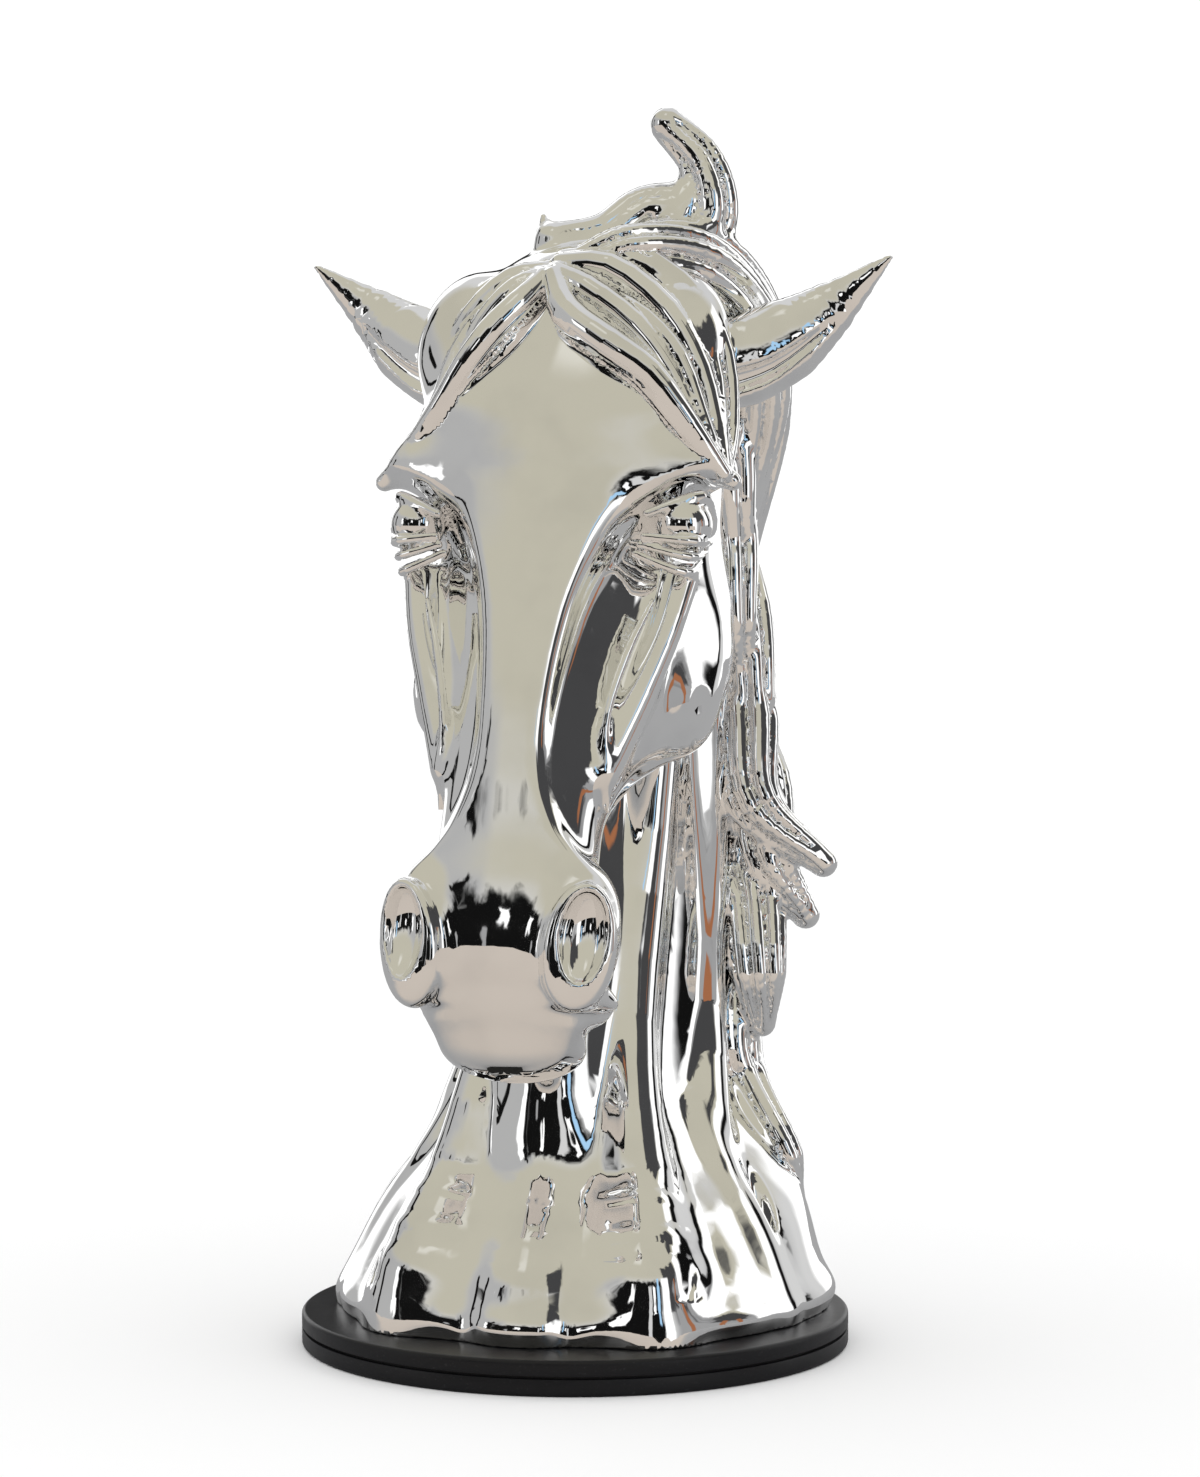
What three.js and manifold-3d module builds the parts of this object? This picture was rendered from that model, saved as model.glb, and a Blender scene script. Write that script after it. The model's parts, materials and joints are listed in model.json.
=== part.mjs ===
// A horse head bust, cast in one piece, seated on a round turned plinth.
// Millimetres, +Z up. The horse faces -Y and its left side is +X. The origin is the centre of the
// plinth's underside.

import * as THREE from 'three';
import Module from 'manifold-3d';
import { mergeVertices } from 'three/addons/utils/BufferGeometryUtils.js';

// Driving dimensions, in millimetres

const BUST_HEIGHT = 660; // from the plinth's top to the tip of the raised lock
const PLINTH_RADIUS = 150;
const PLINTH_HEIGHT = 19;
const PLINTH_ROUNDING = 2.4; // radius of the plinth's rims
const GROOVE_LEVEL = 10; // middle of the turned groove, above the underside
const GROOVE_WIDTH = 1.6;
const GROOVE_DEPTH = 3;
const ROUNDING_STEPS = 2;
const PLINTH_SIDES = 72;

// The figure is a free form, so it is carved in modules: 66 modules make its height, and its
// ground, z = 0, is the plinth's top.

const MODULE = BUST_HEIGHT / 66;
const HEAD_PITCH = THREE.MathUtils.degToRad(26); // nose ahead of the poll
const POLL = { y: 3.5, z: 56.5 }; // where the head's axis starts, between the ears

// Smooth joins between forms, as clay is pressed together

function smoothMin(a, b, blend) {
  const h = Math.max(blend - Math.abs(a - b), 0) / blend;
  return Math.min(a, b) - (h * h * blend) / 4;
}

const smoothMax = (a, b, blend) => -smoothMin(-a, -b, blend);

// Forms. Each has reach, the sphere that holds it, and depth(x, y, z), below zero inside it.

function ellipsoid(centre, radii) {
  const [cx, cy, cz] = centre;
  const [rx, ry, rz] = radii;
  return {
    reach: { centre, radius: Math.max(...radii) },
    depth(x, y, z) {
      const [dx, dy, dz] = [(x - cx) / rx, (y - cy) / ry, (z - cz) / rz];
      const scaled = Math.hypot(dx, dy, dz);
      const slope = Math.hypot(dx / rx, dy / ry, dz / rz);
      return slope < 1e-9 ? -Math.min(rx, ry, rz) : (scaled * (scaled - 1)) / slope;
    },
  };
}

// A tapered limb through the points, a radius for each, drawn as a smooth curve. Flatten thins it
// along an axis.
function limb(points, radii, { smooth = 0, flatten = [1, 1, 1] } = {}) {
  let nodes = points.map((p) => new THREE.Vector3(...p));
  let widths = radii;
  if (smooth > 0) {
    const curve = new THREE.CatmullRomCurve3(nodes, false, 'centripetal');
    const count = smooth * (points.length - 1);
    nodes = Array.from({ length: count + 1 }, (_, i) => curve.getPoint(i / count));
    widths = nodes.map((_, i) => {
      const at = (i / count) * (radii.length - 1);
      const low = Math.min(Math.floor(at), radii.length - 2);
      return THREE.MathUtils.lerp(radii[low], radii[low + 1], at - low);
    });
  }
  const [fx, fy, fz] = flatten;
  const stretch = Math.max(fx, fy, fz);
  const box = new THREE.Box3().setFromPoints(nodes);
  const centre = box.getCenter(new THREE.Vector3());
  const radius = centre.distanceTo(box.max) + Math.max(...widths);
  const spans = nodes.slice(1).map((end, i) => {
    const start = nodes[i];
    const run = new THREE.Vector3().subVectors(end, start).multiply(new THREE.Vector3(fx, fy, fz));
    return { start, run, square: Math.max(run.lengthSq(), 1e-9), from: widths[i], to: widths[i + 1] };
  });
  return {
    reach: { centre: centre.toArray(), radius },
    depth(x, y, z) {
      let nearest = Infinity;
      for (const { start, run, square, from, to } of spans) {
        const px = (x - start.x) * fx;
        const py = (y - start.y) * fy;
        const pz = (z - start.z) * fz;
        const t = Math.min(1, Math.max(0, (px * run.x + py * run.y + pz * run.z) / square));
        const away = Math.hypot(px - run.x * t, py - run.y * t, pz - run.z * t);
        nearest = Math.min(nearest, away - (from + (to - from) * t));
      }
      return nearest / stretch;
    },
  };
}

// A smooth profile through rows of [station, value, value ...]
function profile(rows) {
  const slopes = rows.map((row, i) => {
    const before = rows[Math.max(i - 1, 0)];
    const after = rows[Math.min(i + 1, rows.length - 1)];
    return row.slice(1).map((_, c) => (after[c + 1] - before[c + 1]) / (after[0] - before[0]));
  });
  return (station) => {
    const at = Math.min(rows.at(-1)[0], Math.max(rows[0][0], station));
    const i = Math.min(rows.length - 2, Math.max(0, rows.findLastIndex((row) => row[0] <= at)));
    const span = rows[i + 1][0] - rows[i][0];
    const t = (at - rows[i][0]) / span;
    return rows[i].slice(1).map((value, c) => {
      const next = rows[i + 1][c + 1];
      const rise = (2 * t - 3) * t * t;
      return (
        value * (1 + rise) -
        next * rise +
        span * t * (1 - t) * ((1 - t) * slopes[i][c] - t * slopes[i + 1][c])
      );
    });
  };
}

// Depth inside a squared oval of the given half sizes
function oval(x, v, halfWidth, halfDepth, squareness) {
  const a = Math.abs(x) / halfWidth;
  const b = Math.abs(v) / halfDepth;
  const size = (a ** squareness + b ** squareness) ** (1 / squareness);
  if (size < 1e-6) return -Math.min(halfWidth, halfDepth);
  const scale = size ** (1 - squareness);
  const slope = scale * Math.hypot(a ** (squareness - 1) / halfWidth, b ** (squareness - 1) / halfDepth);
  return (size - 1) / slope;
}

// A body of clay, built up by adding and carving forms in order
class Clay {
  constructor(core) {
    this.core = core;
    this.steps = [];
  }

  add(form, blend) {
    this.steps.push({ form, blend, sign: 1 });
    return this;
  }

  carve(form, blend) {
    this.steps.push({ form, blend, sign: -1 });
    return this;
  }

  depth(x, y, z) {
    let depth = this.core(x, y, z);
    for (const { form, blend, sign } of this.steps) {
      const { centre, radius } = form.reach;
      const outside = Math.hypot(x - centre[0], y - centre[1], z - centre[2]) - radius;
      if (outside > sign * depth + blend) continue;
      const own = form.depth(x, y, z);
      depth = sign > 0 ? smoothMin(depth, own, blend) : smoothMax(depth, -own, blend);
    }
    return depth;
  }
}

// The head, in its own frame: x to the horse's left, n out of the face, s from the poll to the lips

const SIN = Math.sin(HEAD_PITCH);
const COS = Math.cos(HEAD_PITCH);
const toHead = (x, y, z) => [
  x,
  -(y - POLL.y) * COS + (z - POLL.z) * SIN,
  -(y - POLL.y) * SIN - (z - POLL.z) * COS,
];
const fromHead = ([x, n, s]) => [x, POLL.y - s * SIN - n * COS, POLL.z - s * COS + n * SIN];

// s, half width, where it is widest, front, back, squareness of the front
const SKULL = profile([
  [-2, 4.2, -1.5, 2.0, -5.0, 2.0],
  [2, 6.3, -0.8, 4.1, -7.0, 2.4],
  [6, 7.4, -0.6, 5.0, -8.8, 2.8],
  [10, 8.0, -0.6, 5.3, -10.4, 3.0],
  [13, 8.0, -1.2, 4.8, -11.4, 2.3],
  [16, 7.6, -2.8, 4.1, -12.4, 1.6],
  [19, 8.3, -4.2, 3.8, -12.6, 1.4],
  [22, 8.4, -4.6, 3.6, -11.6, 1.35],
  [25, 7.5, -3.8, 3.4, -9.6, 1.4],
  [28, 5.5, -1.8, 3.2, -7.4, 1.6],
  [31, 4.3, -0.4, 3.0, -6.0, 1.9],
  [34, 4.2, -0.4, 2.55, -5.2, 2.1],
  [36, 4.5, -0.6, 2.4, -4.9, 2.2],
  [38, 4.7, -0.9, 1.9, -4.8, 2.3],
  [39.7, 4.6, -1.2, 1.3, -4.8, 2.3],
  [41.2, 4.5, -1.5, 0.6, -4.8, 2.3],
  [42.7, 4.1, -2.2, -0.4, -4.7, 2.2],
  [44, 3.5, -2.8, -1.8, -4.5, 2.1],
  [45.2, 2.6, -3.4, -3.0, -3.9, 2.0],
]);
const SKULL_BACK_SQUARENESS = 2.3;
const SKULL_ENDS = { top: -1.6, bottom: 44.9, blend: 2.2 };

function skull(x, n, s) {
  const [halfWidth, widest, front, back, squareness] = SKULL(s);
  const depth =
    n > widest
      ? oval(x, n - widest, halfWidth, front - widest, squareness)
      : oval(x, n - widest, halfWidth, widest - back, SKULL_BACK_SQUARENESS);
  const ends = Math.max(SKULL_ENDS.top - s, s - SKULL_ENDS.bottom);
  return smoothMax(depth, ends, SKULL_ENDS.blend);
}

// The front of the face: a shield over the forehead that ends at the brows, the narrow nasal bone
// and the spread above the nostrils. s, half width, front
const FACE = profile([
  [3.0, 1.6, 4.7],
  [6, 4.6, 5.3],
  [10, 7.2, 5.6],
  [12.9, 8.9, 5.4],
  [14.4, 6.6, 5.2],
  [16.2, 4.7, 5.0],
  [18.8, 3.4, 4.75],
  [22, 2.5, 4.55],
  [27, 1.95, 4.1],
  [31, 2.05, 3.5],
  [33.4, 3.0, 3.05],
  [35.4, 4.6, 2.75],
  [36.8, 5.2, 2.6],
  [38.0, 4.8, 2.38],
  [39.0, 3.9, 2.1],
  [40.0, 3.4, 1.72],
  [41.0, 3.2, 1.2],
]);
const FACE_SPAN = { top: 3, bottom: 41.2 };
const FACE_EDGE = 0.9;
const FACE_TILT = { slope: 0.36, softness: 2.5 }; // how the front falls back to the sides

const facePlane = {
  reach: {
    centre: [0, 2, (FACE_SPAN.top + FACE_SPAN.bottom) / 2],
    radius: (FACE_SPAN.bottom - FACE_SPAN.top) / 2 + 4,
  },
  depth(x, n, s) {
    const [halfWidth, front] = FACE(s);
    const ends = Math.max(FACE_SPAN.top - s, s - FACE_SPAN.bottom);
    const aside = Math.hypot(x, FACE_TILT.softness) - FACE_TILT.softness;
    const top = n - front + FACE_TILT.slope * aside;
    return smoothMax(smoothMax(x - halfWidth, top, FACE_EDGE), Math.max(-n, ends), FACE_EDGE);
  },
};

// Points round the eye: along the slit, up the lids and out of the socket
const EYE = { centre: [7.4, 1.5, 15.9], radius: 1.5, turn: THREE.MathUtils.degToRad(52) };

function eyePoint(along, up, out) {
  const [x, n, s] = EYE.centre;
  const [sin, cos] = [Math.sin(EYE.turn), Math.cos(EYE.turn)];
  return [x + along * cos + out * sin, n - along * sin + out * cos, s - up - along * 0.35];
}

// A fold of skin over or under the eye
function fold(up, out, thick) {
  return limb(
    [eyePoint(-2.3, up * 0.5, out - 1.4), eyePoint(0, up, out), eyePoint(2.2, up * 0.6, out - 1.7)],
    [thick * 0.7, thick, thick * 0.7],
    { smooth: 5 },
  );
}

// Points on the nostril's plane: across it, up it and out of it
const NOSTRIL = {
  centre: [4.6, 1.4, 39.6],
  turn: THREE.MathUtils.degToRad(26),
  lean: 0.15, // how far its top leans out
  slope: 0.42, // how far its foot falls back
  halfWidth: 1.5,
  halfHeight: 2.75,
};

function nostrilPoint(across, up, out) {
  const [x, n, s] = NOSTRIL.centre;
  const [sin, cos] = [Math.sin(NOSTRIL.turn), Math.cos(NOSTRIL.turn)];
  const aside = across + up * NOSTRIL.lean;
  return [x + aside * cos + out * sin, n - aside * sin + out * cos + up * NOSTRIL.slope, s - up];
}

function nostrilRim() {
  return Array.from({ length: 9 }, (_, i) => {
    const turn = (i / 8) * 2 * Math.PI;
    return nostrilPoint(NOSTRIL.halfWidth * Math.cos(turn), NOSTRIL.halfHeight * Math.sin(turn), 0);
  });
}

// Both halves of the head at once: x is its distance from the middle
function carvedHead() {
  return new Clay((x, n, s) => skull(x, n, s))
    .add(facePlane, 0.7)
    // body of the forelock, under its strands
    .add(ellipsoid([5.4, 1.8, 5.4], [3.3, 2.5, 4.6]), 1.0)
    // brow, a shelf with a sharp outer corner
    .add(limb([[4.4, 2.6, 12.2], [7.4, 2.2, 12.6], [9.7, 1.4, 13.3]], [0.7, 0.8, 0.65], { smooth: 4 }), 1.5)
    // hollow in front of the eye, and the crest below it
    .carve(limb([[5.9, 5.0, 16.2], [4.9, 4.6, 19.5], [3.9, 4.3, 27]], [1.2, 0.9, 0.5]), 1.6)
    .add(
      limb(
        [[7.4, 0.2, 18.4], [6.9, 0.2, 21.4], [5.9, 0.1, 25.0], [4.6, 0.2, 29.5]],
        [0.8, 0.7, 0.6, 0.3],
        { smooth: 4 },
      ),
      1.8,
    )
    // socket, eyeball and lids
    .carve(ellipsoid(eyePoint(0, 0.1, 1.9), [1.9, 1.5, 1.7]), 1.2)
    .add(ellipsoid(EYE.centre, [EYE.radius, EYE.radius, EYE.radius]), 0.3)
    .add(fold(1.3, 1.15, 0.45), 0.5)
    .add(fold(-1.5, 1.05, 0.45), 0.5)
    // flat of the cheek, and the jowl
    .carve(ellipsoid([9.8, -2.2, 21.5], [2.0, 2.4, 3.8]), 1.2)
    .add(ellipsoid([5.6, -6.6, 18.6], [2.7, 5.6, 6.2]), 1.2)
    .add(ellipsoid([6.0, -5.2, 23.2], [2.2, 3.4, 2.8]), 1.0)
    // corner of the jaw down to the chin groove
    .carve(ellipsoid([6.6, -5.0, 31.2], [2.2, 3.0, 3.8]), 1.6)
    // nostril: wing, rim and bowl
    .add(ellipsoid([4.2, 0.0, 38.8], [2.0, 2.2, 3.9]), 1.2)
    .add(limb(nostrilRim(), Array(9).fill(0.4), { smooth: 2 }), 0.8)
    .carve(ellipsoid(nostrilPoint(0, 0, 0.8), [1.25, 1.4, 2.6]), 0.4)
    // lips, chin and the corner of the mouth
    .add(ellipsoid([0, -2.9, 41.2], [5.7, 2.9, 1.8]), 0.9)
    .add(ellipsoid([0, -4.2, 43.3], [3.9, 2.6, 1.8]), 0.8)
    .carve(limb([[2.4, -0.5, 43.3], [4.8, -2.0, 42.4], [5.1, -3.8, 41.0]], [0.15, 0.4, 0.3]), 0.5);
}

// z, half width, front y, back y, share of the depth where it is widest, from the front
const NECK = profile([
  [-3, 13.3, -11.6, 13.4, 0.52],
  [0, 13.2, -11.5, 13.4, 0.52],
  [1.5, 13.1, -11.4, 13.5, 0.53],
  [3, 12.8, -10.9, 13.6, 0.55],
  [6, 11.6, -8.9, 13.6, 0.58],
  [8.5, 9.9, -7.4, 13.6, 0.66],
  [11, 7.9, -7.0, 13.7, 0.72],
  [14, 7.0, -6.4, 13.9, 0.74],
  [20, 6.5, -4.2, 14.6, 0.7],
  [30, 5.8, 0.2, 15.4, 0.64],
  [38, 5.4, 1.0, 15.6, 0.6],
  [45, 5.3, 0.0, 14.6, 0.56],
  [51, 5.2, -0.4, 12.4, 0.5],
  [55, 4.6, 0.4, 9.8, 0.5],
  [58.5, 2.6, 1.8, 6.8, 0.5],
]);
const NECK_SQUARENESS = { front: 1.9, back: 2.1 };
const NECK_TOP = { z: 57.4, blend: 2.5 };
const FOOT = { flare: 0.6, height: 1.8, waves: 7, wave: 0.35 }; // rolled lip round the foot

function neck(x, y, z) {
  const [halfWidth, front, back, share] = NECK(z);
  const widest = front + (back - front) * share;
  const depth =
    y < widest
      ? oval(x, y - widest, halfWidth, widest - front, NECK_SQUARENESS.front)
      : oval(x, y - widest, halfWidth, back - widest, NECK_SQUARENESS.back);
  const turn = Math.atan2(x, widest - y);
  const wave = 1 + FOOT.wave * Math.cos(FOOT.waves * turn);
  const lip = FOOT.flare * Math.exp(-((z / FOOT.height) ** 2)) * wave;
  return smoothMax(depth - lip, z - NECK_TOP.z, NECK_TOP.blend);
}

// Both halves of the neck and chest at once
function carvedNeck() {
  return new Clay((x, y, z) => neck(x, y, z))
    // breast: a lobe in the middle and one on each side, parted by creases
    .add(limb([[0, -9.5, -1], [0, -9.1, 2.4], [0, -6.4, 7.4]], [2.5, 2.5, 1.5], { smooth: 3 }), 0.9)
    .add(limb([[6.4, -7.9, -1], [6.0, -7.5, 2.6], [4.9, -5.0, 8]], [3.1, 3.0, 1.9], { smooth: 3 }), 1.2)
    .carve(limb([[3.2, -12.6, 0], [3.0, -10.8, 5], [2.3, -8.0, 10]], [0.8, 0.8, 0.5]), 0.7)
    // windpipe and the muscles from the jaw to the breast
    .add(
      limb([[0, 1.8, 40], [0, 1.0, 30], [0, -1.7, 20], [0, -4.4, 12]], [2.2, 2.1, 2.2, 2.2], { smooth: 3 }),
      0.7,
    )
    .add(
      limb(
        [[4.2, 4.2, 38], [3.6, 1.8, 26], [3.6, -2.0, 16], [4.6, -4.8, 8]],
        [1.2, 1.4, 1.5, 1.9],
        { smooth: 3 },
      ),
      0.7,
    )
    .add(
      limb(
        [[4.6, 9.0, 44], [5.2, 7.4, 28], [5.6, 5.0, 16], [7.0, 0.4, 8]],
        [1.5, 1.6, 1.6, 1.9],
        { smooth: 3 },
      ),
      0.8,
    )
    // edge of the shoulder
    .add(limb([[6.2, 0.6, 11.0], [8.9, -0.9, 6.4], [11.6, -2.2, 0.6]], [0.7, 1.0, 1.2], { smooth: 3 }), 1.0);
}

// Locks of hair: a fan of strands between two edge curves
function fan(upper, lower, { count, thick, blend }) {
  return Array.from({ length: count }, (_, i) => {
    const share = count > 1 ? i / (count - 1) : 0;
    const points = upper.map((p, k) => p.map((v, c) => THREE.MathUtils.lerp(v, lower[k][c], share)));
    const radii = points.map((_, k) => {
      const along = k / (points.length - 1);
      return thick * (0.45 + 0.55 * Math.sin(Math.PI * Math.min(1, along * 0.8 + 0.2)));
    });
    return { form: limb(points, radii, { smooth: 4 }), blend };
  });
}

// The forelock parts over the forehead and falls to the outer corners of the brows
function forelock() {
  const left = fan(
    [
      [-0.2, 4.4, 1.2], [3.3, 3.8, 0.4], [7.0, 2.4, 2.4],
      [8.7, 1.4, 5.6], [9.3, 1.0, 10.0], [9.4, 1.7, 13.0],
    ],
    [
      [-0.4, 5.4, 3.2], [0.6, 6.0, 5.8], [2.9, 6.0, 7.8],
      [5.2, 5.4, 9.4], [7.5, 4.2, 11.6], [9.4, 2.1, 13.2],
    ],
    { count: 4, thick: 1.2, blend: 0.2 },
  );
  const right = fan(
    [
      [-0.9, 4.4, 1.8], [-3.4, 3.8, 1.8], [-6.2, 2.6, 3.4],
      [-7.5, 1.8, 6.2], [-7.5, 2.0, 9.2], [-9.0, 1.7, 12.4],
    ],
    [
      [-1.0, 5.2, 3.0], [-1.9, 5.7, 4.8], [-3.0, 5.7, 6.6],
      [-4.3, 5.4, 8.6], [-6.1, 4.5, 10.8], [-9.1, 2.1, 13.0],
    ],
    { count: 4, thick: 1.05, blend: 0.2 },
  );
  return [...left, ...right].map(({ form, blend }) => ({ form: turned(form), blend }));
}

// A lock as a smooth limb with its blend
const lock = (points, radii, blend) => ({ form: limb(points, radii, { smooth: 5 }), blend });

// Locks that stand up at the poll
function pollLocks() {
  return [
    // the big lock that sweeps over the poll to the left side, in two strands
    lock(
      [
        [-0.4, -1.2, 56.4], [3.0, 0.2, 57.6], [6.0, 3.4, 57.0],
        [7.7, 6.6, 54.4], [8.2, 8.8, 50.2], [6.9, 10.0, 44],
      ],
      [0.9, 1.6, 2.0, 2.1, 1.8, 1.1],
      0.4,
    ),
    lock(
      [
        [0.6, 2.4, 57.0], [4.2, 4.0, 58.2], [6.6, 6.8, 56.8],
        [7.9, 9.6, 53.4], [7.7, 11.4, 48.6], [6.4, 12.4, 42],
      ],
      [1.2, 1.6, 1.9, 1.9, 1.7, 1.0],
      0.4,
    ),
    // the raised lock, hooked at its tip
    lock(
      [[4.2, 6.2, 57.6], [5.8, 6.4, 60.2], [5.4, 6.4, 63.0], [3.6, 6.2, 65.0]],
      [2.3, 1.8, 1.35, 1.0],
      0.7,
    ),
    // the ridge between it and the peak over the part
    lock(
      [[-1.9, 2.6, 58.5], [0.4, 4.2, 58.9], [2.3, 5.6, 60.2], [4.2, 6.2, 60.2]],
      [1.0, 1.2, 1.4, 1.7],
      0.6,
    ),
    lock([[-1.4, 2.0, 55.6], [-2.1, 2.4, 57.8], [-2.6, 2.8, 59.8]], [1.5, 1.2, 0.6], 0.5),
    lock([[-1.8, 2.2, 56.0], [-4.2, 2.2, 55.6], [-6.0, 1.8, 54.7]], [1.1, 1.0, 1.0], 0.5),
  ];
}

// The mane: long locks that leave the crest one below the other and fall to the left. Each row is
// the height where a lock leaves the crest, its fall, how far it swings out and forward, and how
// far its tip turns out.
const MANE = [
  [55, 15, 1.2, 6.6, 0.1],
  [51, 17, 1.3, 7.6, 0.2],
  [46, 16, 1.9, 6.4, 0.2],
  [41, 17, 2.3, 7.8, 4.0],
  [36, 15, 2.8, 6.6, 2.2],
  [30, 15, 2.0, 7.4, 0.2],
  [24, 14, -0.3, 6.0, 0.1],
  [18, 13, -0.8, 7.2, 0.0],
];
const MANE_GROUND = 7; // the locks hang free of the flare of the foot below this height
const OFF_SIDE = { fall: 0.55, forward: 0.6 }; // the short locks of the other side, as shares

function mane() {
  const crest = limb(
    [
      [1.4, 6.0, 56.6], [1.6, 11.0, 53], [1.4, 14.0, 45],
      [1.2, 14.6, 34], [1.0, 14.0, 20], [0.7, 12.4, 6], [0.6, 12.2, 0],
    ],
    [2.4, 2.4, 2.1, 2.0, 1.8, 1.6, 1.5],
    { smooth: 4 },
  );
  // the mass of hair that the locks lie on, down the neck and behind the ear
  const under = limb(
    [[5.0, 9.4, 47], [5.5, 9.8, 36], [5.9, 9.4, 26], [6.1, 8.8, 17]],
    [1.3, 1.6, 1.6, 1.2],
    { smooth: 3 },
  );
  const locks = [
    { form: crest, blend: 1.2 },
    { form: under, blend: 0.8 },
    { form: ellipsoid([5.6, 6.4, 50.0], [2.0, 3.4, 5.8]), blend: 0.8 },
  ];
  for (const [top, fall, swing, forward, turnOut] of MANE) {
    const along = (share, lift, ahead) => {
      const z = top - fall * share;
      const [halfWidth, , back] = NECK(Math.max(z, MANE_GROUND));
      return [halfWidth * lift, back - forward * ahead, z];
    };
    const [root, shoulder, belly, wrist, tip] = [
      along(0, 0.1, 0.1),
      along(0.18, 0.75, 0.25),
      along(0.5, 1.0, 0.8),
      along(0.8, 1.0, 1.0),
      along(1, 1.0, 0.85),
    ];
    belly[0] += swing * 0.7;
    wrist[0] += swing;
    tip[0] += swing * 0.8 + turnOut;
    locks.push(lock([root, shoulder, belly, wrist, tip], [1.3, 1.9, 1.9, 1.6, 0.8], 0.35));
    const [offRoot, offShoulder, offBelly] = [
      along(0, 0.1, 0.05),
      along(OFF_SIDE.fall * 0.4, 0.7, OFF_SIDE.forward * 0.4),
      along(OFF_SIDE.fall, 0.92, OFF_SIDE.forward),
    ].map(([x, y, z]) => [-x, y, z]);
    locks.push(lock([offRoot, offShoulder, offBelly], [1.4, 1.5, 0.6], 0.4));
  }
  return locks;
}

// Ears swept out to the sides like horns, with a hollow behind
function ears(clay) {
  clay.add(
    limb(
      [[6.8, 2.4, 51.2], [8.6, 3.2, 51.8], [10.7, 4.2, 52.9], [13.0, 4.9, 54.6], [16.8, 4.6, 57.6]],
      [2.3, 2.5, 2.3, 1.55, 0.55],
      { smooth: 3, flatten: [1, 1.5, 1] },
    ),
    0.8,
  );
  clay.carve(
    limb([[8.8, 5.6, 50.6], [11.0, 6.2, 52.2], [13.8, 6.0, 54.8]], [1.2, 1.3, 0.5], { smooth: 4 }),
    0.5,
  );
}

const FOOT_END = -1.4; // the clay goes on a little below the ground, where it is cut flat

// The whole figure as one depth function, in modules
function figure() {
  const head = carvedHead();
  const body = carvedNeck();
  ears(body);
  const throat = 0.9; // blend where the jaw meets the neck
  const bare = (x, y, z) => {
    const side = Math.abs(x);
    return smoothMin(head.depth(...toHead(side, y, z)), body.depth(side, y, z), throat);
  };
  const clay = new Clay(bare);
  for (const { form, blend } of [...mane(), ...pollLocks(), ...forelock()]) clay.add(form, blend);
  return (x, y, z) => Math.max(clay.depth(x, y, z), FOOT_END - z);
}

// A form given in the head's frame, placed in the figure's
function turned(form) {
  const { centre, radius } = form.reach;
  return {
    reach: { centre: fromHead(centre), radius },
    depth: (x, y, z) => form.depth(...toHead(x, y, z)),
  };
}

// Casting: a closed mesh of the depth function's zero surface on a grid of cells

// Grid lines whose spacing changes smoothly from the low end to the high end
function gridLines(low, high, lowStep, highStep) {
  const lines = [low];
  while (lines.at(-1) < high) {
    const share = (lines.at(-1) - low) / (high - low);
    lines.push(lines.at(-1) + THREE.MathUtils.lerp(lowStep, highStep, Math.min(1, share)));
  }
  return lines;
}

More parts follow.
